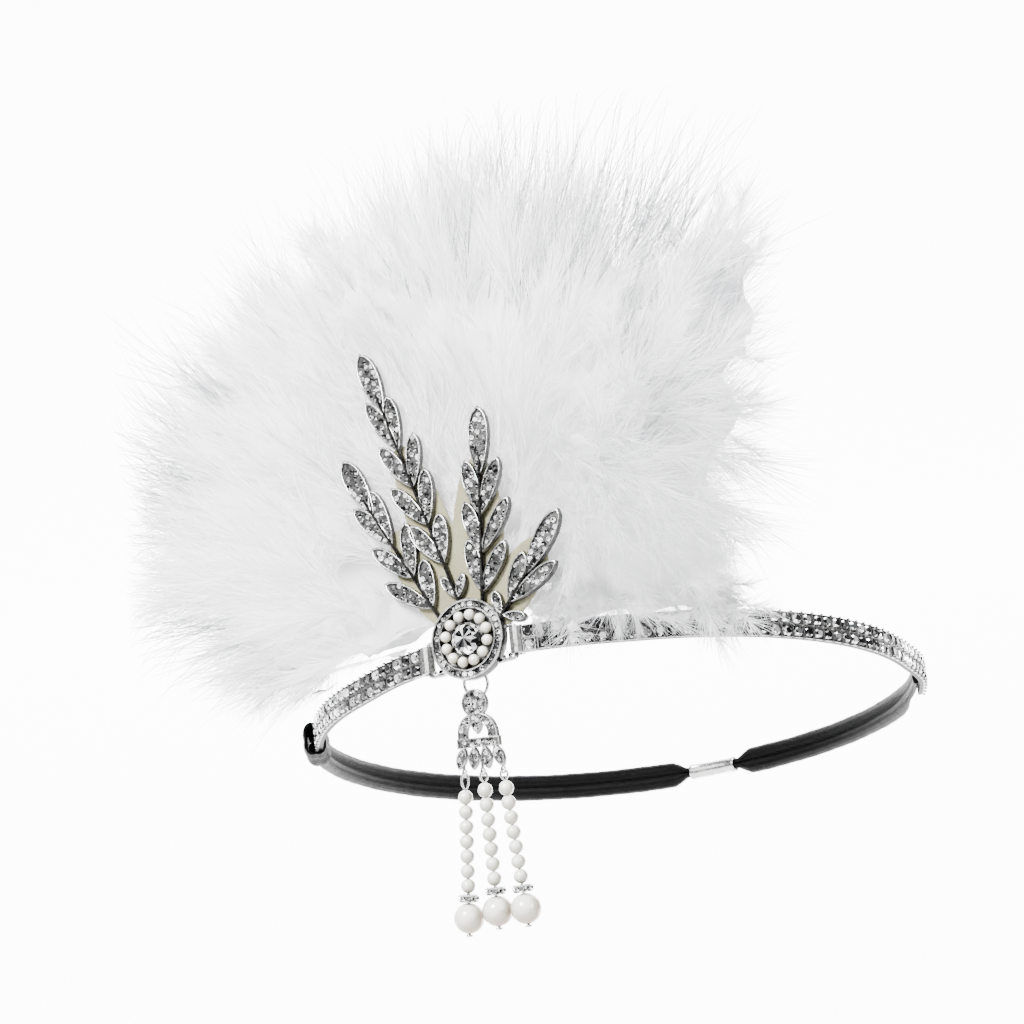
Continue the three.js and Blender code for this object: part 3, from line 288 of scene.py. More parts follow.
ring = {"halfWidth": 82.0, "halfDepth": 92.0, "tilt": 13.0}
brooch = {"angle": -24.2, "rise": 2.9, "standoff": 2.3, "staple": (-0.7, -7.6), "stapleDepth": 0.87}
tilt = Matrix.Rotation(-math.radians(ring["tilt"]), 4, "X")


def ringNormal(angle):
    turn = math.radians(angle)
    return Vector((math.sin(turn) / ring["halfWidth"], -math.cos(turn) / ring["halfDepth"], 0)).normalized()


def ringAlong(angle):
    normal = ringNormal(angle)
    return Vector((-normal.y, normal.x, 0))


def ringPoint(angle, out, up):
    turn = math.radians(angle)
    foot = Vector((ring["halfWidth"] * math.sin(turn), -ring["halfDepth"] * math.cos(turn), up))
    return foot + ringNormal(angle) * out


def ringSpeed(angle):
    turn = math.radians(angle)
    return math.radians(math.hypot(ring["halfWidth"] * math.cos(turn), ring["halfDepth"] * math.sin(turn)))


def basis(right, up, front, at):
    return Matrix.Translation(at) @ Matrix((right, up, front)).transposed().to_4x4()


broochLocal = basis(ringAlong(brooch["angle"]), Vector((0, 0, 1)), ringNormal(brooch["angle"]),
                    ringPoint(brooch["angle"], brooch["standoff"], brooch["rise"]))
broochFrame = tilt @ broochLocal
dropHook = broochFrame @ Vector((*brooch["staple"], -brooch["stapleDepth"]))
broochFront = broochFrame.to_3x3() @ Vector((0, 0, 1))
dropFrame = Matrix.Translation(dropHook) @ Matrix.Rotation(math.atan2(broochFront.x, -broochFront.y), 4, "Z")


def eased(value, low, high):
    share = np.clip((value - low) / (high - low), 0, 1)
    return share * share * (3 - 2 * share)


def smoothStep(value, low, high):
    return float(eased(value, low, high))


def circle(radius, count, offset=0):
    return [(radius * math.cos(2 * math.pi * (k + offset) / count),
             radius * math.sin(2 * math.pi * (k + offset) / count)) for k in range(count)]


# Mesh building

class Shape:
    def __init__(self):
        self.points = []
        self.faces = []
        self.slots = []

    def add(self, points, faces, slot=0, at=None):
        first = len(self.points)
        self.points += [at @ Vector(p) if at else Vector(p) for p in points]
        self.faces += [[first + k for k in face] for face in faces]
        self.slots += slot if isinstance(slot, list) else [slot] * len(faces)
        return self

    def loft(self, rings, slot=0, at=None, looped=False, tip=None):
        # slot is one number, or one for each row of faces with the end's own last
        count = len(rings[0])
        points = [p for row in rings for p in row]
        rows = slot if isinstance(slot, list) else [slot] * (len(rings) + 1)
        faces, slots = [], []
        for row in range(len(rings) if looped else len(rings) - 1):
            a, b = row * count, (row + 1) % len(rings) * count
            faces += [[a + k, a + (k + 1) % count, b + (k + 1) % count, b + k] for k in range(count)]
            slots += [rows[row]] * count
        if not looped:
            faces.append(list(range(count))[::-1])
            last = (len(rings) - 1) * count
            if tip is None:
                faces.append(list(range(last, last + count)))
            else:
                points.append(tip)
                faces += [[last + k, last + (k + 1) % count, len(points) - 1] for k in range(count)]
            slots += [rows[0]] + [rows[-1]] * (len(faces) - len(slots) - 1)
        return self.add(points, faces, slots, at)

    def lathe(self, profile, segments, slot=0, at=None):
        # closed profile of (radius, height), or one that starts and ends on the axis
        onAxis = profile[0][0] == 0
        inner = profile[1:-1] if onAxis else profile
        points = []
        for across, up in circle(1, segments):
            points += [(r * across, r * up, h) for r, h in inner]
        count = len(inner)
        rows = slot if isinstance(slot, list) else [slot] * (count + 1)
        faces, slots = [], []
        for k in range(segments):
            a, b = k * count, (k + 1) % segments * count
            for row in range(count - 1 if onAxis else count):
                c = (row + 1) % count
                faces.append([a + row, b + row, b + c, a + c])
                slots.append(rows[row])
        if onAxis:
            points += [(0, 0, profile[0][1]), (0, 0, profile[-1][1])]
            low, high = len(points) - 2, len(points) - 1
            for k in range(segments):
                a, b = k * count, (k + 1) % segments * count
                faces += [[low, b, a], [high, a + count - 1, b + count - 1]]
                slots += [rows[0], rows[-1]]
        return self.add(points, faces, slots, at)

    def ball(self, centre, radius, segments, rows, slot=0, at=None):
        profile = [(radius * math.sin(math.pi * k / rows), -radius * math.cos(math.pi * k / rows))
                   for k in range(rows + 1)]
        profile[0], profile[-1] = (0, -radius), (0, radius)
        return self.lathe(profile, segments, slot, at @ Matrix.Translation(centre))

    def tube(self, path, radius, sides=8, slot=0, at=None, looped=False):
        path = [Vector(p) for p in path]
        rings = []
        side = None
        for k, centre in enumerate(path):
            ahead = path[(k + 1) % len(path)] if looped or k < len(path) - 1 else path[k]
            behind = path[k - 1] if looped or k else path[k]
            tangent = (ahead - behind).normalized()
            if side is None:
                side = tangent.orthogonal().normalized()
            side = (side - tangent * side.dot(tangent)).normalized()
            other = tangent.cross(side)
            rings.append([centre + (side * x + other * y) * radius for x, y in circle(1, sides)])
        return self.loft(rings, slot, at, looped)


def shadeSmooth(mesh, smooth=True):
    mesh.polygons.foreach_set("use_smooth", [smooth] * len(mesh.polygons))


def meshPiece(name, shape, materials=(), smooth=True, sharpFrom=None):
    mesh = bpy.data.meshes.new(name)
    mesh.from_pydata([p * mm for p in shape.points], [], shape.faces)
    for material in materials:
        mesh.materials.append(finishes[material])
    mesh.polygons.foreach_set("material_index", shape.slots)
    shadeSmooth(mesh, smooth)
    mesh.update()
    work = bmesh.new()
    work.from_mesh(mesh)
    bmesh.ops.recalc_face_normals(work, faces=work.faces)
    work.to_mesh(mesh)
    work.free()
    if sharpFrom:
        mesh.set_sharp_from_angle(angle=math.radians(sharpFrom))
    return placed(name, mesh)


def settle(piece, body, nodes=()):
    if nodes:
        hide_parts(*nodes)
    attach(piece, body)
    return piece


def baked(piece):
    bpy.context.view_layer.update()
    mesh = bpy.data.meshes.new_from_object(piece.evaluated_get(bpy.context.evaluated_depsgraph_get()))
    piece.modifiers.clear()
    piece.data = mesh
    mesh.name = piece.name
    return mesh


# Geometry Nodes: copies of a unit on given points, and stones scattered over faces

def newTree(name, inputs):
    tree = bpy.data.node_groups.new(name, "GeometryNodeTree")
    tree.interface.new_socket(name="Geometry", in_out="OUTPUT", socket_type="NodeSocketGeometry")
    for label, kind in {"Geometry": "Geometry", "Unit": "Object", **inputs, "Material": "Material"}.items():
        tree.interface.new_socket(name=label, in_out="INPUT", socket_type="NodeSocket" + kind)
    return tree, tree.nodes.new("NodeGroupInput").outputs


def endTree(tree, given, points, rotation, scale):
    # instances with a random value for each copy, then one for each face; the stone finishes paint their reflections
    # and glints from these
    unit = addNode(tree, "GeometryNodeObjectInfo", None, {"Object": given["Unit"]})
    grown = addNode(tree, "GeometryNodeInstanceOnPoints", None, {
        "Points": points, "Instance": unit.outputs["Geometry"], "Rotation": rotation, "Scale": scale})
    for name, domain, seed in (("lot", "INSTANCE", 3), ("spark", "FACE", 7)):
        if domain == "FACE":
            grown = addNode(tree, "GeometryNodeRealizeInstances", None, {"Geometry": grown.outputs[0]})
        chance = addNode(tree, "FunctionNodeRandomValue", {"data_type": "FLOAT"}, {"Seed": seed})
        grown = addNode(tree, "GeometryNodeStoreNamedAttribute", {"data_type": "FLOAT", "domain": domain}, {
            "Geometry": grown.outputs[0], "Name": name, "Value": chance.outputs[1]})
    dressed = addNode(tree, "GeometryNodeSetMaterial", None, {
        "Geometry": grown.outputs[0], "Material": given["Material"]})
    tree.links.new(dressed.outputs[0], tree.nodes.new("NodeGroupOutput").inputs[0])
    return tree


def copiesTree():
    tree, given = newTree("copiesOnPoints", {})
    turn, size = (addNode(tree, "GeometryNodeInputNamedAttribute", {"data_type": "FLOAT_VECTOR"}, {"Name": name})
                  for name in ("turn", "size"))
    rotation = addNode(tree, "FunctionNodeEulerToRotation", None, {0: turn.outputs[0]})
    return endTree(tree, given, given["Geometry"], rotation.outputs[0], size.outputs[0])


def scatterTree():
    tree, given = newTree("stonesOnFaces", {"Spacing": "Float", "Smallest": "Float", "Largest": "Float",
                                            "Seed": "Int"})
    spots = addNode(tree, "GeometryNodeDistributePointsOnFaces", {"distribute_method": "POISSON"}, {
        "Mesh": given["Geometry"], "Distance Min": given["Spacing"], "Density Max": 4000000.0,
        "Seed": given["Seed"]})
    size = addNode(tree, "FunctionNodeRandomValue", {"data_type": "FLOAT"}, {
        2: given["Smallest"], 3: given["Largest"], "Seed": 11})
    return endTree(tree, given, spots.outputs["Points"], spots.outputs["Rotation"], size.outputs[1])


def grown(name, base, tree, values):
    host = placed(name, base)
    modifier = host.modifiers.new("grow", "NODES")
    modifier.node_group = tree
    sockets = {item.name: item.identifier for item in tree.interface.items_tree if item.in_out == "INPUT"}
    for label, value in values.items():
        modifier[sockets[label]] = value
    baked(host)
    return host


def spotMesh(name, spots):
    # each spot: place in metres, 3x3 turn, size
    mesh = bpy.data.meshes.new(name)
    mesh.from_pydata([place for place, _, _ in spots], [], [])
    turn = mesh.attributes.new("turn", "FLOAT_VECTOR", "POINT")
    turn.data.foreach_set("vector", [v for _, turned, _ in spots for v in turned.to_euler()])
    size = mesh.attributes.new("size", "FLOAT_VECTOR", "POINT")
    size.data.foreach_set("vector", [v for _, _, scale in spots for v in (scale,) * 3])
    return mesh


copies = copiesTree()
scatter = scatterTree()
units = []


def unitPiece(name, shape, smooth=False):
    units.append(meshPiece(name, shape, smooth=smooth))
    return units[-1]


def copied(name, unit, spots, material):
    return grown(name, spotMesh(name + "Spots", spots), copies, {"Unit": unit, "Material": finishes[material]})


def facetedStone(table, height, sides):
    # cut stone of radius 1 at its girdle: table, a zigzag crown and a short base
    levels = [(0.7, -0.25, 0), (1, 0, 0), ((1 + table) / 2, height * 0.62, 0.5), (table, height, 0)]
    points = [(x, y, level) for radius, level, offset in levels for x, y in circle(radius, sides, offset)]
    faces = [list(range(sides))[::-1]]
    mid, top = 2 * sides, 3 * sides
    for k in range(sides):
        n = (k + 1) % sides
        faces += [[k, n, sides + n, sides + k], [sides + k, sides + n, mid + k], [sides + n, mid + n, mid + k],
                  [mid + k, mid + n, top + n], [mid + k, top + n, top + k]]
    faces.append(list(range(top, top + sides)))
    return Shape().add(points, faces)


smallStone = unitPiece("smallStone", facetedStone(0.55, 0.55, 6))
roundStone = unitPiece("roundStone", facetedStone(0.55, 0.6, 8))


# Rhinestone band: its cells come from the strip's own eight-sided tables

band = {"cell": 3.5, "stone": 1.5, "stoneSunk": 0.85, "stoneRise": 1.2, "clipReach": 17.5,
        "tableArea": (2e-6, 4e-6)}  # the last in square metres


def welded(node, distance):
    work = bmesh.new()
    work.from_mesh(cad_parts[node].data)
    bmesh.ops.remove_doubles(work, verts=work.verts, dist=distance * mm)
    return work


def meshOf(work, name):
    mesh = bpy.data.meshes.new(name)
    work.to_mesh(mesh)
    work.free()
    return mesh


def flatFaces(node, accept):
    work = welded(node, 0.02)
    bmesh.ops.dissolve_limit(work, angle_limit=math.radians(0.4), verts=work.verts, edges=work.edges)
    found = [([v.co.copy() for v in face.verts], face.calc_center_median(), face.normal.copy())
             for face in work.faces if accept(face)]
    work.free()
    return found


def bandCup():
    # square cup with a prong at each corner, its top level with the stone's girdle
    shape = Shape()
    half, wall = 0.5 * band["cell"] - 0.06, 0.22
    corners = ((1, 1), (-1, 1), (-1, -1), (1, -1))
    rings = [(half, -1.2), (half, -0.62), (half - 0.1, -0.5), (half - wall, -0.5), (half - wall - 0.06, -0.95),
             (half - wall - 0.06, -1.1), (half - wall, -1.2)]
    shape.loft([[(x * size, y * size, level) for x, y in corners] for size, level in rings], looped=True)
    for sx, sy in sorted(corners):
        corner = Matrix.Translation((sx * (half - 0.16), sy * (half - 0.16), -1.0))
        lean = Matrix.Rotation(math.radians(26), 4, Vector((-sy, sx, 0)))
        shape.lathe([(0, 0), (0.26, 0), (0.24, 0.8), (0.14, 0.98), (0, 1.02)], 6, at=corner @ lean)
    return shape


cup = unitPiece("bandCup", bandCup())


def makeBand(node):
    least, most = band["tableArea"]
    tables = flatFaces(node, lambda face: len(face.verts) == 8 and least < face.calc_area() < most)
    up = tilt.to_3x3() @ Vector((0, 0, 1))
    cupSpots, stoneSpots, tops = [], [], {}
    for corners, centre, normal in tables:
        turn = Matrix((up.cross(normal).normalized(), up, normal)).transposed()
        cupSpots.append((centre, turn, 1.0))
        stoneSpots.append((centre - normal * band["stoneSunk"] * mm, turn, band["stone"]))
        for corner in corners:
            tops[tuple(round(c, 6) for c in corner)] = normal
    settle(copied(node + "Cups", cup, cupSpots, "cup"), "headpiece")
    settle(copied(node + "Stones", roundStone, stoneSpots, "stone"), "headpiece")
    # the strip's black back and edge, pressed flat where its stones rise
    work = welded(node, 0.02)
    for vert in work.verts:
        normal = tops.get(tuple(round(c, 6) for c in vert.co))
        if normal:
            vert.co -= normal * (band["stoneRise"] - 0.05) * mm
    mesh = meshOf(work, node + "Backing")
    mesh.materials.append(finishes["wrap"])
    mesh.materials.append(finishes["cup"])
    inwards = broochFrame.inverted()
    for polygon in mesh.polygons:  # the folded end has a metal clip
        polygon.material_index = int(abs((inwards @ (polygon.center / mm)).x) < band["clipReach"])
    settle(placed(node + "Backing", mesh), "headpiece", [node])


for side in ("left", "right"):
    makeBand("band_" + side)
print("band stones set")


# Elastic, its end wrap and the crimp tube

elastic = {"cord": 2.0, "spacing": 3.7, "crimpAngle": 161.3, "crimpLength": 14.0, "tube": (2.3, 1.8), "step": 2.0,
           "perDegree": 1.55, "neck": 1.25, "tab": 1.5, "tabLength": 12.0, "tabHeight": 3.5,
           "bandLeft": -87.0, "bandRight": 93.0}
crimpSpan = elastic["crimpLength"] / ringSpeed(elastic["crimpAngle"])
tabSpan = elastic["tabLength"] / ringSpeed(elastic["bandRight"])


def cordOutline(angle, widthShare, heightShare, out):
    outline = []
    for half in (1, -1):
        for k in range(14):
            turn = math.radians((-65 if half > 0 else 115) + 310 / 13 * k)
            waist = max(0.12, elastic["spacing"] / 2 + half * elastic["cord"] * math.sin(turn))
            across = elastic["cord"] * math.cos(turn)
            outline.append(ringPoint(angle, out + across * widthShare, half * waist * heightShare))
    return outline


def makeElastic(name, node, fromAngle, toAngle, isLeft):
    cord, bandEnd = elastic["cord"], elastic["bandRight"]
    tall = elastic["spacing"] / 2 + cord
    count = int(abs(toAngle - fromAngle) * elastic["perDegree"] / elastic["step"])
    rings = []
    for k in range(count + 1):
        angle = fromAngle + (toAngle - fromAngle) * k / count
        away = abs((angle + 360 if isLeft else angle) - elastic["crimpAngle"])
        opened = smoothStep(away, crimpSpan / 2, crimpSpan * 0.9)
        flat = 0 if isLeft else 1 - smoothStep(angle, bandEnd + 0.6 * tabSpan, bandEnd + 2.1 * tabSpan)
        width = (elastic["neck"] / cord) * (1 - opened) + opened
        width = width * (1 - flat) + flat * elastic["tab"] / 2 / cord
        height = (elastic["neck"] / tall) * (1 - opened) + opened
        height *= 1 - flat * (1 - 0.85 * elastic["tabHeight"] / tall)
        out = cord * (1 - flat) + flat * elastic["tab"] / 2
        swell = 1 + 0.012 * math.sin(angle * 1.7) + 0.01 * math.sin(angle * 4.3 + 1)
        rings.append(cordOutline(angle, width * swell, height * swell, out))
    piece = meshPiece(name, Shape().loft(rings, at=tilt), ["braid"], sharpFrom=70)
    weaveMap(piece, len(rings[0]), elastic["step"] * mm)
    settle(piece, "headpiece", [node])


def weaveMap(piece, count, step):
    # lengths in metres along, turns around
    layer = piece.data.uv_layers.new(name="weave")
    for polygon in piece.data.polygons:
        around = [piece.data.loops[k].vertex_index % count for k in polygon.loop_indices]
        wraps = len(around) == 4 and max(around) - min(around) > count / 2
        for k, column in zip(polygon.loop_indices, around):
            row = piece.data.loops[k].vertex_index // count
            layer.data[k].uv = (row * step, (column + (count if wraps and column < count / 2 else 0)) / count)


gap = 0.05 * crimpSpan
makeElastic("elasticLeftCord", "elastic_left", elastic["bandLeft"] - 0.3, elastic["crimpAngle"] + gap - 360, True)
makeElastic("elasticRightCord", "elastic_right", elastic["bandRight"] - tabSpan + 0.2, elastic["crimpAngle"] - gap,
            False)


def makeCrimp():
    outer, inner = elastic["tube"]
    profile = [(-0.5, inner), (-0.5, outer - 0.12), (-0.48, outer), (-0.44, outer), (-0.425, outer - 0.1),
               (-0.2, outer - 0.12), (0, outer - 0.16), (0.2, outer - 0.12), (0.425, outer - 0.1),
               (0.44, outer), (0.48, outer), (0.5, outer - 0.12), (0.5, inner), (0, inner)]
    rings = [[ringPoint(elastic["crimpAngle"] + along * crimpSpan, elastic["cord"] + x, y)
              for x, y in circle(radius, 28)] for along, radius in profile]
    piece = meshPiece("crimpTube", Shape().loft(rings, at=tilt, looped=True), ["rim"], sharpFrom=35)
    settle(piece, "headpiece", ["crimp_tube"])


makeCrimp()

wrap = {"from": -84.6, "to": -94.1, "height": 9.6, "thickness": 6.4, "turns": 13, "sides": 24, "thread": 0.016,
        "swell": [(0, 0.92), (0.2, 1), (0.45, 0.88), (0.75, 1), (1, 0.9)]}


def makeWrap():
    def outline(along, share, inset):
        angle = wrap["from"] + (wrap["to"] - wrap["from"]) * along
        wide = wrap["thickness"] / 2 * share - inset
        tall = wrap["height"] / 2 * share - inset
        return [ringPoint(angle, elastic["cord"] + wide * x * (1 + 0.4 * abs(x * y)),
                          tall * y * (1 + 0.4 * abs(x * y))) for x, y in circle(1, wrap["sides"])]

    rings = []
    rows = 8 * wrap["turns"]
    for k in range(rows + 1):
        along = k / rows
        low = max(row for row in wrap["swell"] if row[0] <= along)
        high = min(row for row in wrap["swell"] if row[0] >= along)
        share = 0 if low == high else smoothStep(along, low[0], high[0])
        swell = low[1] + (high[1] - low[1]) * share
        rings.append(outline(along, swell + wrap["thread"] * abs(math.sin(math.pi * along * wrap["turns"])), 0.05))
    rings += [outline(along, 0.9, 0.6) for along in (1, 0.5, 0)]
    piece = meshPiece("endWrapSleeve", Shape().loft(rings, at=tilt, looped=True), ["wrap"])
    weaveMap(piece, wrap["sides"], 0.0002)
    settle(piece, "headpiece", ["end_wrap_left"])


makeWrap()
print("elastic made")


# Brooch: sprays of leaves round a medallion

medallion = {"radius": 10.5, "depth": 3.0, "floor": 1.2, "rim": 0.55, "channel": 1.65, "channelFloor": 2.3,
             "innerRim": 0.4, "pearls": 12, "pearl": 2.9, "crystal": 8.4, "bezel": 2.6, "bezelIn": 3.36,
             "bezelOut": 3.86, "stones": 32}
sideLoop = {"reach": 13.2, "half": 4.35, "drop": 2.9, "wire": 0.55}
leaf = {"thickness": 1.6, "rim": 0.5, "recess": 0.5, "length": 16, "width": 4.7, "tipLength": 19,
        "tipWidth": 6.1, "smallLength": 7.5, "smallWidth": 3, "spray": 53}
sprays = {  # root in shares of the medallion's radius, lean, stem share, lean of the tip leaf
    "a": (-0.81, 0.78, -28.1, 0.65, -25),
    "b": (-0.21, 1.08, -17.1, 1.07, -17.7),
    "c": (0.47, 0.92, 4.9, 0.61, 4),
    "d": (0.96, 0.42, 41.5, 0.22, 37),
}
leafRows = {  # place along the stem, lean, share of a leaf's length, small or not
    "a": [(0.07, -55.3, 1.06, 0), (0.07, -7.7, 0.88, 0), (0.37, -48, 1, 0), (0.37, -4.9, 0.98, 0),
          (0.7, -40.8, 1.04, 0), (0.7, -18.1, 1.09, 0)],
    "b": [(0, -33.6, 1.09, 1), (0, 18.2, 0.91, 1), (0.18, -37.2, 0.98, 0), (0.18, -1, 0.88, 0),
          (0.39, -39.9, 1.01, 0), (0.39, 1, 0.98, 0), (0.59, -34.5, 1.02, 0), (0.59, 5, 0.95, 0),
          (0.79, -29.1, 1.12, 0), (0.79, -7.7, 1.01, 0)],
    "c": [(0.05, -10.6, 0.96, 0), (0.05, 33.1, 0.92, 0), (0.37, -13.5, 0.95, 0), (0.37, 35.3, 1.01, 0),
          (0.68, -11.6, 1.01, 0), (0.68, 24.6, 0.99, 0)],
    "d": [(0, -15.3, 0.95, 1), (0, 106.7, 0.96, 1), (0.3, 24.6, 0.86, 0), (0.3, 61.8, 1.05, 0)],
}


def bezier(points, share):
    a, b, c, d = (Vector(p) for p in points)
    rest = 1 - share
    return a * rest ** 3 + b * 3 * rest ** 2 * share + c * 3 * rest * share ** 2 + d * share ** 3


def leafOutline(length, width, inset, level, steps=9):
    half = width / 2 - inset
    start, end = 1.6 * inset, length - 1.6 * inset
    near, far = start + (end - start) * 0.14, start + (end - start) * 0.86
    right = [(0, start), (half * 0.8, near), (half * 1.75, far), (0, end)]
    left = [(0, end), (-half * 1.75, far), (-half * 0.8, near), (0, start)]
    line = [bezier([(x, y, 0) for x, y in side], k / steps) for side in (right, left) for k in range(steps)]
    return [(p.x, p.y, level) for p in line]


def leafShell(shape, root, lean, length, width, lift):
    at = broochFrame @ Matrix.Translation((root[0], root[1], 0)) @ Matrix.Rotation(-math.radians(lean), 4, "Z")
    top = leaf["thickness"] + lift
    floor = leaf["thickness"] - leaf["recess"]
    rim = leaf["rim"]
    rings = [(0, 0), (0, top - 0.22), (0.1, top - 0.07), (0.2, top), (rim - 0.14, top),
             (rim - 0.04, top - 0.08), (rim, floor)]
    outlines = [leafOutline(length, width, inset, level) for inset, level in rings]
    # outer side walls, inner wall and recess floor take the dark finish: patina and painted shade
    shape.loft(outlines, [1, 1, 1, 0, 0, 1, 1], at)


def lean2d(lean, length):
    return Vector((math.sin(math.radians(lean)), math.cos(math.radians(lean)))) * length


def makeSprays(shape):
    count = 0
    for name, (rootU, rootV, lean, stem, tipLean) in sprays.items():
        root = Vector((rootU, rootV)) * medallion["radius"]
        line = lean2d(lean, stem * leaf["spray"])
        for along, leafLean, size, small in leafRows[name]:
            length = size * (leaf["smallLength"] if small else leaf["length"])
            width = leaf["smallWidth"] if small else leaf["width"]
            leafShell(shape, root + line * along, leafLean, length, width, 0.012 * (count % 5))
            count += 1
        leafShell(shape, root + line, tipLean, leaf["tipLength"], leaf["tipWidth"], 0.03)
        foot = root - lean2d(lean, 0.25 * medallion["radius"])
        top = root + line + lean2d(lean, 0.3 * leaf["tipLength"])
        rings = []
        for k in range(13):
            centre = foot.lerp(top, k / 12)
            half = 0.4 * (1 - 0.3 * k / 12)
            side = Vector((line.y, -line.x)).normalized()
            raised = leaf["thickness"] + 0.5
            rings.append([(*(centre + side * x * half), n) for x, n in (
                (-1, 0.2), (1, 0.2), (1, raised - 0.25), (0.5, raised), (-0.5, raised), (-1, raised - 0.25))])
        shape.loft(rings, 2, broochFrame)


def makeMedallion(shape):
    r, rim = medallion["radius"], medallion["rim"]
    outer = r - rim
    inner = outer - medallion["channel"]
    room = inner - medallion["innerRim"]
    top, low, floor = medallion["depth"], medallion["channelFloor"], medallion["floor"]
    bezelIn, bezelOut = medallion["bezelIn"], medallion["bezelOut"]
    # outer wall, channel and room walls and floors and the bezel's inner wall take the dark finish: patina and
    # painted shade
    shape.lathe([(0, 0), (r - 0.15, 0), (r, 0.15), (r, top - 0.2), (r - 0.12, top), (outer + 0.1, top),
                 (outer, top - 0.1), (outer, low), (inner, low), (inner, top - 0.18), (inner - 0.1, top - 0.08),
                 (room + 0.1, top - 0.08), (room, top - 0.2), (room, floor), (bezelOut, floor),
                 (bezelOut, medallion["bezel"] - 0.12), (bezelOut - 0.12, medallion["bezel"]),
                 (bezelIn, medallion["bezel"]), (bezelIn, floor), (0, floor)], 96,
                [1, 1, 0, 0, 0, 1, 1, 1, 0, 0, 0, 1, 1, 0, 0, 0, 1, 1], broochFrame)
    reach, wire = sideLoop["reach"], sideLoop["wire"]
    low, high = -sideLoop["drop"] - sideLoop["half"], -sideLoop["drop"] + sideLoop["half"]
    path = [(7, low), (reach - 1.3, low), (reach - 0.4, low + 0.4), (reach, low + 1.3), (reach, high - 1.3),
            (reach - 0.4, high - 0.4), (reach - 1.3, high), (7, high)]
    for side in (-1, 1):
        shape.tube([(side * x, y, wire) for x, y in path], wire, 12, at=broochFrame)
    x, y = brooch["staple"]
    shape.tube([(x, y + v, n) for v, n in ((-1.17, 0.5), (-1.17, -1.7), (-0.9, -2.04), (0.9, -2.04), (1.17, -1.7),
                                           (1.17, 0.5))], 0.3, 8, at=broochFrame)


def makeBrooch():
    shape = Shape()
    makeMedallion(shape)
    makeSprays(shape)
    settle(meshPiece("broochCasting", shape, ["silver", "patina", "stem"], sharpFrom=40), "headpiece",
           ["brooch_casting"])
    pearls = Shape()
    half, clear = medallion["pearl"] / 2, 0.3
    inner = medallion["radius"] - medallion["rim"] - medallion["channel"] - medallion["innerRim"]
    radius = inner - clear - half
    for k in range(medallion["pearls"]):
        turn = math.radians(90 - 360 * (k + 0.5) / medallion["pearls"])
        centre = (radius * math.cos(turn), radius * math.sin(turn), medallion["floor"] + clear + half)
        pearls.ball(centre, half, 24, 14, at=broochFrame)
    settle(meshPiece("ringPearls", pearls, ["pearl"]), "headpiece",
           [f"ring_pearl_{k:02d}" for k in range(1, 13)])


makeBrooch()


def makeCrystal():
    radius = medallion["crystal"] / 2
    sides = 16
    levels = [(0.42, -1.35, 0), (0.73, 0, 0), (1, 0.02, 0), (1, 0.3, 0), (0.84, 0.92, 0.5), (0.62, 1.55, 0)]
    points = [(x, y, level) for share, level, offset in levels for x, y in circle(share * radius, sides, offset)]
    points += [(0, 0, -1.35), (0, 0, 1.72)]
    faces = []
    for row in range(0, 3 * sides, sides):
        faces += [[row + k, row + (k + 1) % sides, row + sides + (k + 1) % sides, row + sides + k]
                  for k in range(sides)]
    a, b, c = 3 * sides, 4 * sides, 5 * sides
    for k in range(sides):
        n = (k + 1) % sides
        faces += [[a + k, a + n, b + k], [a + n, b + n, b + k], [b + k, b + n, c + n], [b + k, c + n, c + k]]
        faces += [[c + k, c + n, len(points) - 1], [n, k, len(points) - 2]]
    at = broochFrame @ Matrix.Translation((0, 0, medallion["bezel"] + 0.3))
    piece = meshPiece("centreCrystal", Shape().add(points, faces, at=at), ["crystal"], smooth=False)
    # a random value for each facet, from which the finish paints reflections and glints
    spark = piece.data.attributes.new("spark", "FLOAT", "FACE")
    spark.data.foreach_set("value", np.random.default_rng(5).random(len(piece.data.polygons)))
    settle(piece, "headpiece", ["centre_crystal"])


makeCrystal()


def channelStones():
    radius = medallion["radius"] - medallion["rim"] - medallion["channel"] / 2
    turnTo = broochFrame.to_3x3()
    spots = []
    for k in range(medallion["stones"]):
        turn = 2 * math.pi * k / medallion["stones"]
        place = broochFrame @ Vector((radius * math.cos(turn), radius * math.sin(turn), 2.55))
        spots.append((place * mm, turnTo @ Matrix.Rotation(turn, 3, "Z"), 0.76))
    settle(copied("channelStones", smallStone, spots, "pave"), "headpiece")


channelStones()


def pave(name, node, body, planeFrame, level, spacing, sizes, seed):
    # stones over the sunken fields of a casting, which lie at one level of its plane
    front = (planeFrame.to_3x3() @ Vector((0, 0, 1))).normalized()
    height = (planeFrame @ Vector((0, 0, level))).dot(front) * mm
    fields = flatFaces(node, lambda face: face.normal.dot(front) > 0.999 and face.calc_area() > 1.2e-6
                       and abs(face.calc_center_median().dot(front) - height) < 0.03 * mm)
    points, faces = [], []
    for corners, centre, _ in fields:
        faces.append(list(range(len(points), len(points) + len(corners))))
        points += [c.lerp(centre, 0.1) + front * 0.12 * mm for c in corners]
    mesh = bpy.data.meshes.new(name + "Fields")
    mesh.from_pydata(points, [], faces)
    piece = grown(name, mesh, scatter, {
        "Unit": smallStone, "Spacing": spacing * mm, "Smallest": sizes[0], "Largest": sizes[1],
        "Seed": seed, "Material": finishes["pave"]})
    print(name, len(fields), "fields", len(piece.data.polygons), "faces")
    return settle(piece, body)


pave("leafStones", "brooch_casting", "headpiece", broochFrame, leaf["thickness"] - leaf["recess"],
     1.3, (0.62, 0.76), 3)
print("brooch made")


# Felt behind the casting

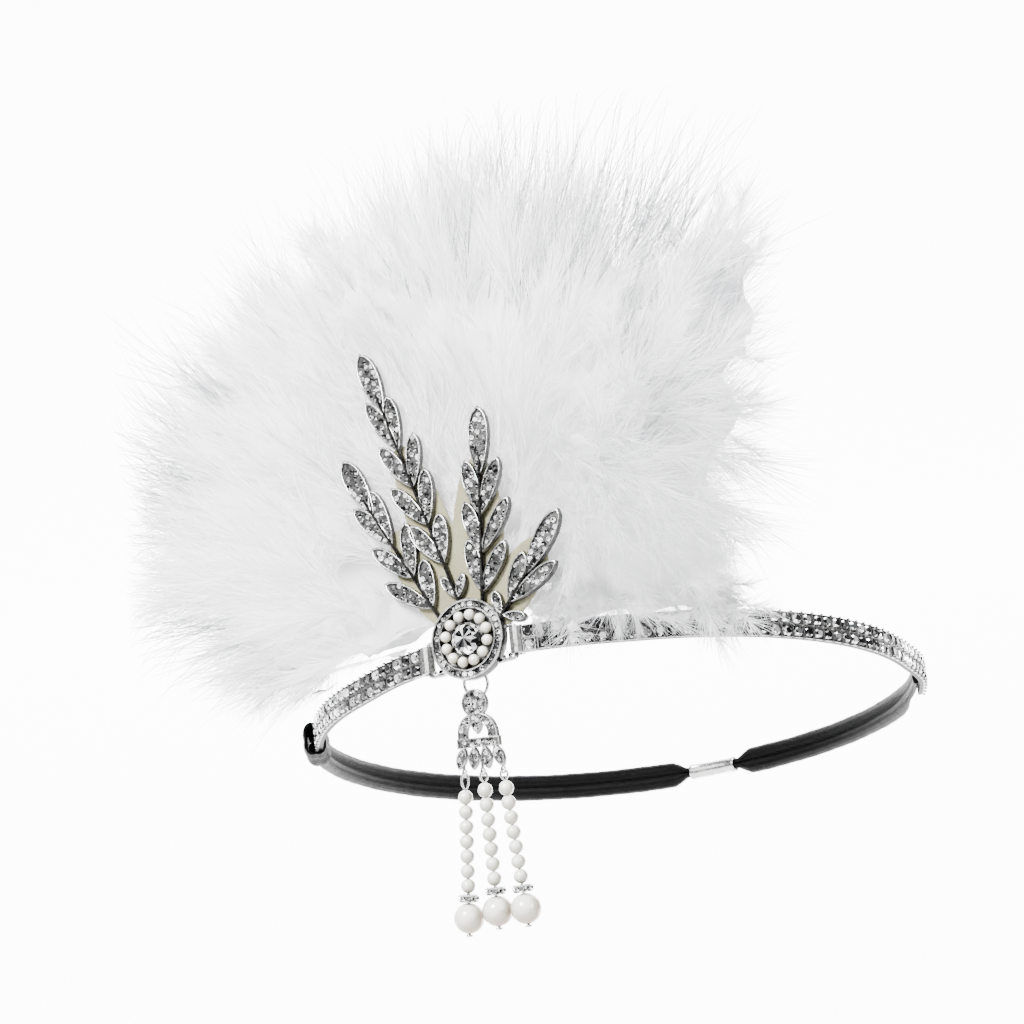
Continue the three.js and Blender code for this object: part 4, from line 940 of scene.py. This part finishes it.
def softened(name, node, voxel, rounds, material):
    # one soft closed body from a node's solid
    piece = placed(name, meshOf(welded(node, 0.01), name))
    remesh = piece.modifiers.new("body", "REMESH")
    remesh.mode = "VOXEL"
    remesh.voxel_size = voxel * mm
    piece.modifiers.new("soften", "SMOOTH").iterations = rounds
    mesh = baked(piece)
    mesh.materials.clear()
    mesh.materials.append(finishes[material])
    shadeSmooth(mesh)
    return piece


settle(softened("feltBacking", "felt_backing", 0.42, 3, "felt"), "headpiece", ["felt_backing"])


# Drop: link, casting and three strands of pearls

drop = {"linkRadius": 3.4, "wire": 0.42, "back": -brooch["stapleDepth"], "thickness": 1.6, "disc": 3.6,
        "discDrop": 1.5,
        "archHalf": 5.75, "archHeight": 6.6, "scroll": 2.5, "bar": (12.3, 2.5), "navette": (6, 2.9),
        "rim": 0.4, "fan": [(-0.36, 20), (-0.12, 7), (0.12, -6), (0.36, -19)]}
hook = -2 * drop["linkRadius"]
discAt = hook - drop["discDrop"]
archTop = discAt - 0.6 * drop["disc"]
barTop = archTop - drop["archHeight"]
navetteTop = barTop - drop["bar"][1] + 0.35
eye = {"wire": 0.28, "radius": 0.9}
eyeCentre = navetteTop - drop["navette"][0] - (eye["radius"] - eye["wire"]) + 0.1


def dropPlate(shape, outline, x, z, lean=0, lift=0):
    at = (dropFrame @ Matrix.Translation((x, drop["back"], z)) @ Matrix.Rotation(math.pi / 2, 4, "X")
          @ Matrix.Rotation(-math.radians(lean), 4, "Z"))
    top = drop["thickness"] + lift
    floor = 0.75 * drop["thickness"]
    rings = [(0, 0), (0, top - 0.2), (0.08, top - 0.04), (0.15, top), (drop["rim"] - 0.1, top),
             (drop["rim"], top - 0.1), (drop["rim"], floor)]
    # outer wall, inner wall and floor take the dark cup finish: painted shade in the recesses and on the sides
    shape.loft([[(p[0], p[1], level) for p in outline(inset)] for inset, level in rings],
               [1, 0, 0, 0, 0, 1, 1], at)


def discOutline(inset):
    return circle(drop["disc"] - inset, 40)


def navetteOutline(length, width):
    def outline(inset):
        half, end = width / 2 - inset, length / 2 - 1.7 * inset
        right = [(0, end, 0), (1.3 * half, 0.45 * end, 0), (1.3 * half, -0.45 * end, 0), (0, -end, 0)]
        left = [(-x, -y, 0) for x, y, _ in right]
        return [bezier(side, k / 10) for side in (right, left) for k in range(10)]
    return outline


def archOutline(inset):
    wide, tall, inner = drop["archHalf"] - inset, drop["archHeight"] - inset, drop["scroll"] - inset
    half, high = drop["archHalf"], drop["archHeight"]
    line = [bezier([(wide, inset, 0), (1.05 * wide, 0.62 * tall, 0), (0.6 * wide, tall, 0), (0, tall, 0)], k / 10)
            for k in range(10)]
    line += [bezier([(0, tall, 0), (-0.6 * wide, tall, 0), (-1.05 * wide, 0.62 * tall, 0), (-wide, inset, 0)],
                    k / 10) for k in range(11)]

    def quadratic(a, b, c, share):
        return Vector(a).lerp(Vector(b), share).lerp(Vector(b).lerp(Vector(c), share), share)

    line += [quadratic((inner - half, inset, 0), (inner - half, high - inner, 0), (0, high - inner, 0), k / 8)
             for k in range(9)]
    line += [quadratic((0, high - inner, 0), (half - inner, high - inner, 0), (half - inner, inset, 0), k / 8)
             for k in range(1, 9)]
    return line


def barOutline(inset):
    wide, tall = drop["bar"][0] / 2 - inset, drop["bar"][1] / 2 - inset
    return [(-wide, -tall), (wide, -tall), (wide, tall), (-wide, tall)]


def makeDropCasting():
    shape = Shape()
    dropPlate(shape, discOutline, 0, discAt)
    dropPlate(shape, archOutline, 0, barTop - 0.2, lift=0.01)
    dropPlate(shape, navetteOutline(drop["archHeight"] - 0.6, 3), 0, archTop - 0.45 * drop["archHeight"] + 0.2,
              lift=0.04)
    dropPlate(shape, barOutline, 0, barTop - drop["bar"][1] / 2, lift=0.03)
    for share, lean in drop["fan"]:
        along = lean2d(lean, drop["navette"][0] / 2)
        dropPlate(shape, navetteOutline(*drop["navette"]), share * drop["bar"][0] - along.x,
                  navetteTop - along.y, lean, 0.02)
    middle = drop["back"] - drop["thickness"] / 2
    for row in strands.values():
        x = row["place"] * drop["bar"][0]
        shape.tube([(x, middle + y, eyeCentre + z) for y, z in circle(eye["radius"], 20)], eye["wire"], 8,
                   at=dropFrame, looped=True)
        foot = eyeCentre + eye["radius"]
        shape.tube([(x, middle, foot - 0.1), (x, middle, foot + 3)], 0.4, 8, at=dropFrame)
    staple = ((-0.6, -1.17), (0.87, -1.17), (1.17, -0.9), (1.17, 0.9), (0.87, 1.17), (-0.6, 1.17))
    shape.tube([(0, y, hook + z) for y, z in staple], 0.3, 8, at=dropFrame)
    settle(meshPiece("dropCasting", shape, ["silver", "cup"], sharpFrom=40), "pendant", ["drop_casting"])
    radius = drop["linkRadius"]
    link = Shape().tube([(x, 0, z - radius) for x, z in circle(radius, 48)], drop["wire"], 12, at=dropFrame,
                        looped=True)
    settle(meshPiece("dropLink", link, ["rim"]), "link", ["drop_link"])


strands = {
    "left": {"place": -0.42, "loop": 4.3, "splay": -5.2},
    "middle": {"place": 0.02, "loop": 2.9, "splay": -0.4},
    "right": {"place": 0.5, "loop": 2.9, "splay": 3.4},
}
beads = {"radius": 1.95, "pitch": 3.75, "count": 7, "end": 3.95, "rondelle": (2.9, 1.9), "pin": 0.4,
         "head": (0.9, 0.5), "gap": 0.3, "stones": 11}


def makeStrand(side, row):
    place = (row["place"] * drop["bar"][0], drop["back"] - drop["thickness"] / 2, eyeCentre)
    at = dropFrame @ Matrix.Translation(place) @ Matrix.Rotation(-math.radians(row["splay"]), 4, "Y")
    gap, pin, end = beads["gap"], beads["pin"], beads["end"]
    (head, headTall), (wheel, tall) = beads["head"], beads["rondelle"]
    top = -row["loop"]
    rondelleTop = top - beads["pitch"] * beads["count"] - gap
    bore = pin + gap
    flat = math.sqrt(end ** 2 - bore ** 2)
    endCentre = rondelleTop - tall - gap - flat
    foot = endCentre - flat - gap
    strand = Shape()
    for k in range(beads["count"]):
        strand.ball((0, 0, top - beads["pitch"] * (k + 0.5)), beads["radius"] * 0.965, 24, 14, 0, at)
    strand.lathe([(0, foot - headTall), (head * 0.8, foot - headTall), (head, foot - headTall / 2),
                  (head * 0.9, foot), (pin, foot), (pin, top), (0, top)], 14, 1, at)
    low = top + 0.3
    half = [(0.8, 0.78 * low), (1.05, 0.5 * low), (0.85, 0.2 * low), (0.55, -0.1)]
    path = [(0, low - 0.5), *half, (0, 0.02), *((-x, z) for x, z in half[::-1])]
    strand.tube([(x, 0, z) for x, z in path], eye["wire"], 8, 1, at, looped=True)
    settle(meshPiece("pearlStrand" + side.title(), strand, ["pearl", "rim"], sharpFrom=50), "pendant",
           ["pearl_strand_" + side])
    mouth = math.asin(bore / end)
    turns = [mouth + (math.pi - 2 * mouth) * k / 20 for k in range(21)]
    pearl = Shape().lathe([(end * math.sin(t), endCentre + end * math.cos(t)) for t in turns], 40, 0, at)
    settle(meshPiece("endPearl" + side.title(), pearl, ["endPearl"]), "pendant", ["end_pearl_" + side])
    middle = Vector((0, 0, rondelleTop - tall / 2))
    half = [(bore, 0), (0.82 * wheel, 0), (0.86 * wheel, 0.12), (0.84 * wheel, 0.35), (0.72 * wheel, 0.4)]
    profile = [(r, up - tall / 2) for r, up in half] + [(r, tall / 2 - up) for r, up in half[::-1]]
    rondelle = Shape().lathe(profile, 40, 0, at @ Matrix.Translation(middle))
    settle(meshPiece("rondelle" + side.title(), rondelle, ["rim"], sharpFrom=40), "pendant",
           ["rondelle_" + side])
    spots = []
    for k in range(beads["stones"]):
        turn = 2 * math.pi * k / beads["stones"]
        out = Vector((math.cos(turn), math.sin(turn), 0))
        turned = at.to_3x3() @ Matrix.Rotation(turn, 3, "Z") @ Matrix.Rotation(math.pi / 2, 3, "Y")
        spots.append(((at @ (out * 0.8 * wheel + middle)) * mm, turned, 0.68))
    settle(copied("rondelleStones" + side.title(), smallStone, spots, "stone"), "pendant")


makeDropCasting()
for side, row in strands.items():
    makeStrand(side, row)
dropPlane = dropFrame @ Matrix.Translation((0, drop["back"], 0)) @ Matrix.Rotation(math.pi / 2, 4, "X")
pave("dropStones", "drop_casting", "pendant", dropPlane, 0.75 * drop["thickness"], 1.0, (0.56, 0.7), 9)
print("drop made")


# Plume: tufts of down along locks that fan out from behind the brooch

plume = {"reach": 138.0, "bandHalf": 3.5, "foot": 7.0, "slide": 52.0, "wrapLeft": 190.0, "wrapRight": 92.0,
         "outline": [(-90, 0.48), (-78, 0.66), (-64, 0.92), (-50, 1.06), (-38, 1.06), (-26, 1.03), (-4, 1.0),
                     (6, 0.95), (14, 0.88), (22, 0.95), (30, 0.86), (38, 0.72), (50, 0.57), (66, 0.47), (90, 0.44)],
         # leans from and to, share of the reach, flares, lock's half width and half depth
         "layers": {"plumeBack": (-84, 82, 1.0, -0.16, -0.02, 0.15, 12),
                    "plumeMiddle": (-76, 74, 0.9, -0.2, -0.06, 0.17, 12),
                    "plumeFront": (-86, 84, 0.83, 0.0, 0.17, 0.18, 11),
                    "plumeSides": (-88, 88, 0.6, 0.08, 0.27, 0.2, 9)},
         "tufts": {"plumeBack": 85, "plumeMiddle": 120, "plumeFront": 160, "plumeSides": 105}, "seed": 21,
         "puffs": 400, "puffGap": 4.2, "offBand": 6.2, "behind": 2.0,
         "fringe": (60, 46, 40),  # over the band, in the corner by the brooch, and along the plume's lower edge
         # lean, clump's half width in degrees, reach past the outline, and how many long barbs it has
         "wisps": [(-84, 8, 24, 60), (-66, 9, 34, 90), (-52, 8, 34, 100), (-36, 9, 22, 80), (-20, 9, 12, 60),
                   (-4, 8, 16, 70), (8, 6, 30, 80), (20, 8, 32, 120), (34, 7, 26, 90), (45, 5, 24, 60),
                   (58, 5, 4, 20), (78, 9, 4, 20)],
         "fall": Vector((0.5, -0.84, 0.2))}  # way the down hangs low on the right
strandSides = circle(1, 3)


bandRise = {"leftFoot": -33.6, "rightFoot": -14.8, "span": 22, "lift": 3.3}


def bandLift(angle):
    # how far the band stands off the head near the brooch
    foot = bandRise["leftFoot" if angle < brooch["angle"] else "rightFoot"]
    away = min(1, abs(angle - foot) / bandRise["span"])
    return bandRise["lift"] * (1 + math.cos(math.pi * away)) / 2


def plumeShare(lean):
    leans = [row[0] for row in plume["outline"]]
    return float(np.interp(lean, leans, [row[1] for row in plume["outline"]]))


def lockFoot(lean):
    slide = smoothStep(lean, 0, 90)
    across = 0.1 * lean if lean < 0 else plume["slide"] * slide
    angle = brooch["angle"] + across / ringSpeed(brooch["angle"])
    out = (brooch["standoff"] - 3.6) * (1 - slide) + (bandLift(angle) + 1.6) * slide
    up = plume["bandHalf"] + 0.3 + 2.5 + (1 - slide) * plume["foot"] / 2
    return broochLocal.inverted() @ ringPoint(angle, out, up)


def lockLine(layer, lean):
    _, _, share, centre, side, _, _ = plume["layers"][layer]
    reach = plume["reach"] * share * plumeShare(lean)
    flare = centre + (side - centre) * smoothStep(abs(lean), 25, 70)
    foot = lockFoot(lean)
    tip = Vector((reach * math.sin(math.radians(lean)), reach * math.cos(math.radians(lean)), 0))
    tip.z = flare * reach - tip.x ** 2 / 2 / (plume["wrapLeft"] if lean < 0 else plume["wrapRight"])
    control = foot.lerp(tip, 0.5) + Vector((0, 0.08 * reach, 0))
    return foot, control, tip, reach


def barb(points, faces, tonesAndShades, start, heading, bend, length, width, steps, tone):
    # closed three-sided strand that tapers to its tip
    first = len(points)
    # the tone rises from root to tip: painted shade at the root
    for step in range(steps):
        tonesAndShades += [min(1, tone + 0.35 * step / steps)] * 3
    tonesAndShades.append(min(1, tone + 0.35))
    centre = start
    for step in range(steps):
        ahead = heading + bend * (step + 0.5) / steps
        ahead /= np.linalg.norm(ahead)
        across = np.cross(ahead, [0.31, 0.22, 0.93])
        across /= np.linalg.norm(across) + 1e-9
        other = np.cross(ahead, across)
        thick = width * (1 - 0.5 * step / steps)
        points += [centre + (across * x + other * y) * thick for x, y in strandSides]
        centre = centre + ahead * length / steps
    points.append(centre)
    faces.append([first + 2, first + 1, first])
    for step in range(steps - 1):
        a, b = first + 3 * step, first + 3 * step + 3
        faces += [[a + j, a + (j + 1) % 3, b + (j + 1) % 3, b + j] for j in range(3)]
    a = first + 3 * (steps - 1)
    faces += [[a + j, a + (j + 1) % 3, a + 3] for j in range(3)]


def strandWay(turn, opened, flatness):
    return np.array([math.cos(turn) * math.sin(opened), flatness * math.sin(turn) * math.sin(opened),
                     math.cos(opened)])


def tuft(seed, barbs, length, spread, steps=2):
    # downy feather along +Z: barbs leave a short quill on all sides and curl forwards
    chance = np.random.default_rng(seed)
    points, faces, tonesAndShades = [], [], []
    for k in range(barbs):
        share = (k + chance.random()) / barbs
        start = np.array([0, 0, length * 0.55 * share ** 0.9])
        turn = chance.random() * 2 * math.pi
        opened = math.radians(spread) * (0.3 + 0.9 * chance.random()) * (1 - 0.35 * share)
        heading = strandWay(turn, opened, 0.75)
        bend = (chance.random(3) - 0.5) * 0.7 + np.array([0, 0, 0.35])
        barb(points, faces, tonesAndShades, start, heading, bend, length * (0.34 + 0.34 * chance.random()),
             0.08 * (0.75 + 0.5 * chance.random()), steps, 0.25 + 0.75 * chance.random())
    return points, faces, tonesAndShades


def longBarbs(seed, barbs):
    # loose fan of a few strands along +Z, 24 to 40 mm long
    chance = np.random.default_rng(seed)
    points, faces, tonesAndShades = [], [], []
    for k in range(barbs):
        turn = chance.random() * 2 * math.pi
        opened = math.radians(4 + 13 * chance.random())
        heading = strandWay(turn, opened, 1)
        bend = (chance.random(3) - 0.5) * 0.8
        start = np.array([0, 0, 6.0 * chance.random()])
        barb(points, faces, tonesAndShades, start, heading, bend, 24 + 16 * chance.random(), 0.1, 4, chance.random())
    return points, faces, tonesAndShades


def featherPiece(name, parts):
    piece = unitPiece(name, Shape().add(parts[0], parts[1]), True)
    tone = piece.data.attributes.new("tone", "FLOAT", "POINT")
    tone.data.foreach_set("value", parts[2])
    return piece


tufts = [featherPiece(f"tuft{k}", tuft(40 + k, 100, 36.0, 46.0)) for k in range(4)]
fans = [featherPiece(f"fan{k}", longBarbs(60 + k, 5)) for k in range(4)]
puffs = [featherPiece(f"puff{k}", tuft(80 + k, 80, 17.0, 72.0, 1)) for k in range(3)]


def footprint():
    # outline of the brooch that the down stays behind
    edge, wide, top = medallion["radius"] + 1, sideLoop["reach"] + 2.5, 7
    marks = [(-edge, edge), (edge, edge), (-edge, -edge), (wide, -edge), (wide, top), (-wide, -edge), (-wide, top)]
    for name, (rootU, rootV, lean, stem, tipLean) in sprays.items():
        root = Vector((rootU, rootV)) * medallion["radius"]
        line = lean2d(lean, stem * leaf["spray"])
        tip = root + line + lean2d(tipLean, leaf["tipLength"] + 2)
        marks += [(tip.x - 2.5, tip.y - 1), (tip.x + 2.5, tip.y - 1)]
        for along, leafLean, size, small in leafRows[name]:
            end = root + line * along + lean2d(leafLean, size * leaf["smallLength" if small else "length"] + 2)
            marks.append((end.x, end.y))
    return np.array(marks)[convex_hull_2d(marks)]


def keepBehind(points, hull):
    # points in the brooch's frame: inside the outline they stay behind the felt
    away = np.full(len(points), -1e9)
    for k in range(len(hull)):
        a, b = hull[k], hull[(k + 1) % len(hull)]
        edge = b - a
        normal = np.array([edge[1], -edge[0]]) / np.linalg.norm(edge)
        away = np.maximum(away, (points[:, :2] - a) @ normal)
    limit = np.clip(away, 0, None) * 1.6 - plume["behind"]
    over = points[:, 2] - limit
    points[:, 2] = np.where(over > 0, limit - 0.25 * np.abs(np.sin(points[:, 0] * 3.1 + points[:, 1])), points[:, 2])
    return points


def keepOffBand(points):
    # points in the ring's frame: none inside the band or the head
    angle = np.arctan2(points[:, 0] / ring["halfWidth"], -points[:, 1] / ring["halfDepth"])
    foot = np.stack([ring["halfWidth"] * np.sin(angle), -ring["halfDepth"] * np.cos(angle)], axis=1)
    radial = foot / np.linalg.norm(foot, axis=1)[:, None]
    out = ((points[:, :2] - foot) * radial).sum(axis=1)
    low = points[:, 2] < plume["bandHalf"] + 0.5
    front = (out > -4) & low & (points[:, 2] > -30)
    push = np.where(front & (out < plume["offBand"]), plume["offBand"] - out, 0)
    inside = (~low) & (points[:, 2] < 45) & (out < -3)
    push = np.where(inside, -3 - out, push)
    points[:, :2] += radial * push[:, None]
    turned = -np.degrees(angle)  # left of the brooch the down ends above the band
    steep = 0.2 + 1.3 * np.clip((turned - 55) / 25, 0, 1)
    floor = plume["bandHalf"] + 0.7 + 0.4 * np.sin(points[:, 0] * 2.3) - np.clip(out - 9, 0, None) * steep
    points[:, 2] = np.where((turned > 34) & (turned < 120), np.maximum(points[:, 2], floor), points[:, 2])
    return points


def drawnIn(points):
    # loose ends past the locks' own box bend back towards it: free for the first part, then ever less
    free, most = 8, 7
    low, high = (np.array(corner) / mm for corner in cadBounds)
    over, past = np.clip(low - free - points, 0, None), np.clip(points - high - free, 0, None)
    return points + over - most * over / (most + over) - past + most * past / (most + past)


def fallShare(across, up):
    # how far the down hangs at a place in the brooch's frame
    return eased(across, 8, 34) * (1 - eased(up, 34, 78))


def addSpot(sets, k, place, heading, front, roll, size):
    # place, heading and front as the brooch's frame has them
    other = heading.cross(front).normalized()
    turned = Matrix((other, heading.cross(other), heading)).transposed()
    turned = broochFrame.to_3x3() @ turned @ Matrix.Rotation(roll * 6.28, 3, "Z")
    sets[k % len(sets)][1].append(((broochFrame @ place) * mm, turned, size))


def lockPlace(name, lean, along, chance, spread):
    # a place in or on a lock, with the way its down runs there
    _, _, _, _, _, width, depth = plume["layers"][name]
    foot, control, tip, reach = lockLine(name, lean)
    centre = foot.lerp(control, along).lerp(control.lerp(tip, along), along)
    tangent = (control.lerp(tip, along) - foot.lerp(control, along)).normalized()
    side = Vector((tangent.y, -tangent.x, 0)).normalized()
    front = side.cross(tangent)
    turn = chance.random() * 2 * math.pi
    offset = side * (math.cos(turn) * width * reach * spread) + front * (math.sin(turn) * depth * spread)
    return centre + offset, tangent, offset.normalized(), front, reach


def valuesOf(data, key, columns):
    flat = np.empty(len(data) * columns)
    data.foreach_get(key, flat)
    return flat.reshape(-1, columns)


def dressed(name, sets, material):
    # copies of each unit joined in one piece, kept off the brooch, the band and the head
    points, faces, tonesAndShades = [], [], []
    count = 0
    for unit, spots in sets:
        part = copied(name + unit.name, unit, spots, material)
        tonesAndShades.append(valuesOf(part.data.attributes["tone"].data, "value", 1)[:, 0])
        points.append(valuesOf(part.data.vertices, "co", 3))
        faces += [[count + k for k in polygon.vertices] for polygon in part.data.polygons]
        count += len(part.data.vertices)
        bpy.data.objects.remove(part)
    local = applied(np.vstack(points) / mm, broochFrame.inverted())
    # painted shade: the tones darken where the down hangs low on the right
    shades = np.concatenate(tonesAndShades) * (1 - 0.45 * fallShare(local[:, 0], local[:, 1]))
    cloud = applied(keepBehind(local, hull), broochLocal)
    cloud = drawnIn(applied(keepOffBand(cloud), tilt)) * mm
    mesh = bpy.data.meshes.new(name)
    mesh.from_pydata(cloud.tolist(), [], faces)
    mesh.attributes.new("tone", "FLOAT", "POINT").data.foreach_set("value", shades)
    mesh.materials.append(finishes[material])
    shadeSmooth(mesh)
    print(name, len(mesh.polygons), "faces")
    settle(placed(name, mesh), "headpiece")


def makePlumeLayer(name, index):
    fromLean, toLean = plume["layers"][name][:2]
    chance = np.random.default_rng(plume["seed"] + index)
    sets = [(unit, []) for unit in tufts]
    count = plume["tufts"][name]
    for k in range(count):
        lean = fromLean + (toLean - fromLean) * (k + chance.random()) / count
        along = 0.16 + 0.62 * math.sqrt(chance.random())
        place, tangent, outwards, front, reach = lockPlace(name, lean, along, chance, 0.62)
        fall = float(fallShare(place.x, place.y))
        heading = (tangent * (1 - 0.8 * fall) + outwards * 0.36 + plume["fall"] * fall
                   + Vector(chance.normal(0, 0.12, 3))).normalized()
        size = min(1.1, max(0.3, reach * (1.0 - along) / 29)) * (0.85 + 0.3 * chance.random())
        size = min(size, max(0.28, place.y / 32)) if fall > 0.1 else size
        addSpot(sets, k, place, heading, front, chance.random(), size)
    dressed(name, sets, "down")


def makeWisps():
    # long loose barbs that stand out of the plume's edge in clumps
    chance = np.random.default_rng(77)
    sets = [(unit, []) for unit in fans]
    for lean, half, past, count in plume["wisps"]:
        for k in range(count):
            name = ("plumeBack", "plumeMiddle", "plumeFront")[k % 3]
            turned = float(np.clip(chance.normal(lean, half * 0.6), -90, 88))
            place, tangent, outwards, front, reach = lockPlace(name, turned, 0.74 + 0.14 * chance.random(),
                                                               chance, 0.5)
            heading = (tangent + outwards * 0.12 + Vector(chance.normal(0, 0.1, 3))).normalized()
            long = reach * 0.18 + past * (0.35 + 0.65 * chance.random())
            addSpot(sets, k, place, heading, front, chance.random(), long / 40)
    dressed("plumeWisps", sets, "wisps")


def makeFringe():
    # short down that hangs over the band's face to the right of the brooch
    chance = np.random.default_rng(31)
    sets = [(unit, []) for unit in puffs]
    inwards = broochLocal.inverted()

    def grow(k, place, heading, size, more):
        addSpot(sets, k, place, heading, Vector((0.1, 0.2, 0.97)), chance.random(), size + more * chance.random())

    hanging, cornered, closing = plume["fringe"]
    for k in range(hanging):
        angle = -14.5 + 36 * ((k + chance.random()) / hanging) ** 1.25
        place = ringPoint(angle, bandLift(angle) + 3.5 + 3 * chance.random(), 4.5 + 7 * chance.random())
        heading = (ringNormal(angle) * (0.3 + 0.4 * chance.random()) + Vector((0, 0, -0.9 + 0.8 * chance.random()))
                   + ringAlong(angle) * float(abs(chance.normal(0.2, 0.35)))).normalized()
        grow(k, inwards @ place, inwards.to_3x3() @ heading, 0.45, 0.32)
    for k in range(cornered):
        place = Vector((12 + 14 * chance.random(), 0.5 + 12 * chance.random(), -3.5 - 2 * chance.random()))
        heading = Vector((0.5, 0.5 - 0.5 * chance.random(), 0.3 * chance.random())).normalized()
        grow(k, place, heading, 0.5, 0.3)
    for k in range(closing):
        angle = -12 + 34 * (k + chance.random()) / closing
        place = ringPoint(angle, bandLift(angle) + 2.5 * chance.random(), 5 + 2 * chance.random())
        heading = ringNormal(angle) * 0.6 + ringAlong(angle) * 0.2 + Vector((0, 0, 0.7))
        grow(k, inwards @ place, (inwards.to_3x3() @ heading).normalized(), 0.45, 0.3)
    dressed("plumeFringe", sets, "fringe")


def applied(points, matrix):
    turn = np.array(matrix)
    return points @ turn[:3, :3].T + turn[:3, 3]


def makeHeart():
    # soft body under the down, from the locks' own form drawn in a little
    piece = softened("plumeHeart", "marabou_plume", 2.2, 14, "heart")
    points = valuesOf(piece.data.vertices, "co", 3) / mm
    x, y, z = points.T
    wave = np.sin(x * 0.35) + np.sin(z * 0.41 + 1) + np.sin(y * 0.5 + 2)
    points = points - valuesOf(piece.data.vertices, "normal", 3) * (5.4 + 0.9 * wave)[:, None]
    points = applied(keepBehind(applied(points, broochFrame.inverted()), hull), broochFrame) * mm
    piece.data.vertices.foreach_set("co", points.ravel())
    piece.data.update()
    return settle(piece, "headpiece", ["marabou_plume"])


def makePuffs(heart):
    # short down all over the front of the heart
    chance = np.random.default_rng(55)
    sets = [(unit, []) for unit in puffs]
    inwards = broochFrame.inverted()
    vertices = heart.data.vertices
    spots = []
    for k in chance.permutation(len(vertices)):
        place = inwards @ (vertices[k].co / mm)
        normal = (inwards.to_3x3() @ vertices[k].normal).normalized()
        if normal.z > -0.15 and all((place - other).length > plume["puffGap"] for other, _ in spots):
            spots.append((place, normal))
        if len(spots) == plume["puffs"]:
            break
    front = Vector((0.3, 0.2, 0.93)).normalized()
    for k, (place, normal) in enumerate(spots):
        away = Vector((place.x, place.y, 0)).normalized()
        fall = float(fallShare(place.x, place.y))
        heading = (normal * 0.6 + away * (0.7 - 0.6 * fall) + plume["fall"] * fall
                   + Vector(chance.normal(0, 0.25, 3))).normalized()
        longer = 1 + 0.5 * fall * smoothStep(place.y, 8, 25)
        addSpot(sets, k, place, heading, front, chance.random(), (0.8 + 0.5 * chance.random()) * longer)
    dressed("plumePuffs", sets, "down")


hull = footprint()
makePuffs(makeHeart())
for index, name in enumerate(plume["layers"]):
    makePlumeLayer(name, index)
makeWisps()
makeFringe()
print("plume made")

for unit in units:
    bpy.data.objects.remove(unit)


# Floor, backdrop and soft light

studio = {"floor": -0.4, "front": -0.9, "bend": 1.25, "radius": 0.5, "width": 3.8, "height": 2.1, "glow": 8.5}


def makeStage():
    # pale floor that runs up into a lit white backdrop
    floor, bend, radius = studio["floor"], studio["bend"], studio["radius"]
    profile = [(studio["front"], floor), (0.3, floor), (bend, floor)]
    for turn in range(10, 91, 10):
        angle = math.radians(turn)
        profile.append((bend + radius * math.sin(angle), floor + radius * (1 - math.cos(angle))))
    profile.append((bend + radius, studio["height"]))
    points = [(side * studio["width"] / 2, y, z) for y, z in profile for side in (-1, 1)]
    mesh = bpy.data.meshes.new("backdrop")
    mesh.from_pydata(points, [], [[2 * k, 2 * k + 1, 2 * k + 3, 2 * k + 2] for k in range(len(profile) - 1)])
    for finish in (Finish("paleFloor", Roughness=0.9, Base_Color=grey(0.8)),
                   Finish("litBackdrop", Roughness=0.9, Base_Color=grey(0.9), Emission_Color=grey(1),
                          Emission_Strength=studio["glow"])):
        mesh.materials.append(finish.material)
    mesh.polygons.foreach_set("material_index", [0] + [1] * (len(mesh.polygons) - 1))
    shadeSmooth(mesh)
    placed("backdrop", mesh)


def softBox(name, place, aim, size, power):
    data = bpy.data.lights.new(name, "AREA")
    data.shape = "RECTANGLE"
    data.size, data.size_y = size
    data.energy = power
    lamp = placed(name, data)
    direction = Vector(aim) - Vector(place)
    lamp.matrix_world = Matrix.Translation(place) @ direction.to_track_quat("-Z", "Y").to_matrix().to_4x4()


makeStage()
for name, place, size, power in (("keyLight", (-0.7, -1.0, 0.95), (0.5, 0.5), 95),
                                 ("fillLight", (1.0, -0.9, 0.3), (0.3, 0.8), 20),
                                 ("topLight", (0.1, 0.1, 1.2), (0.6, 0.6), 40)):
    softBox(name, place, (0, -0.03, 0.05), size, power)
world = bpy.data.worlds.new("studio")
world.use_nodes = True
background = world.node_tree.nodes["Background"].inputs
background["Color"].default_value = (0.93, 0.96, 1.0, 1)
background["Strength"].default_value = 0.4
bpy.context.scene.world = world
meshes = [piece.data for piece in bpy.data.objects if piece.type == "MESH"]
print("stage made, triangles:", sum(len(face.vertices) - 2 for mesh in meshes for face in mesh.polygons))
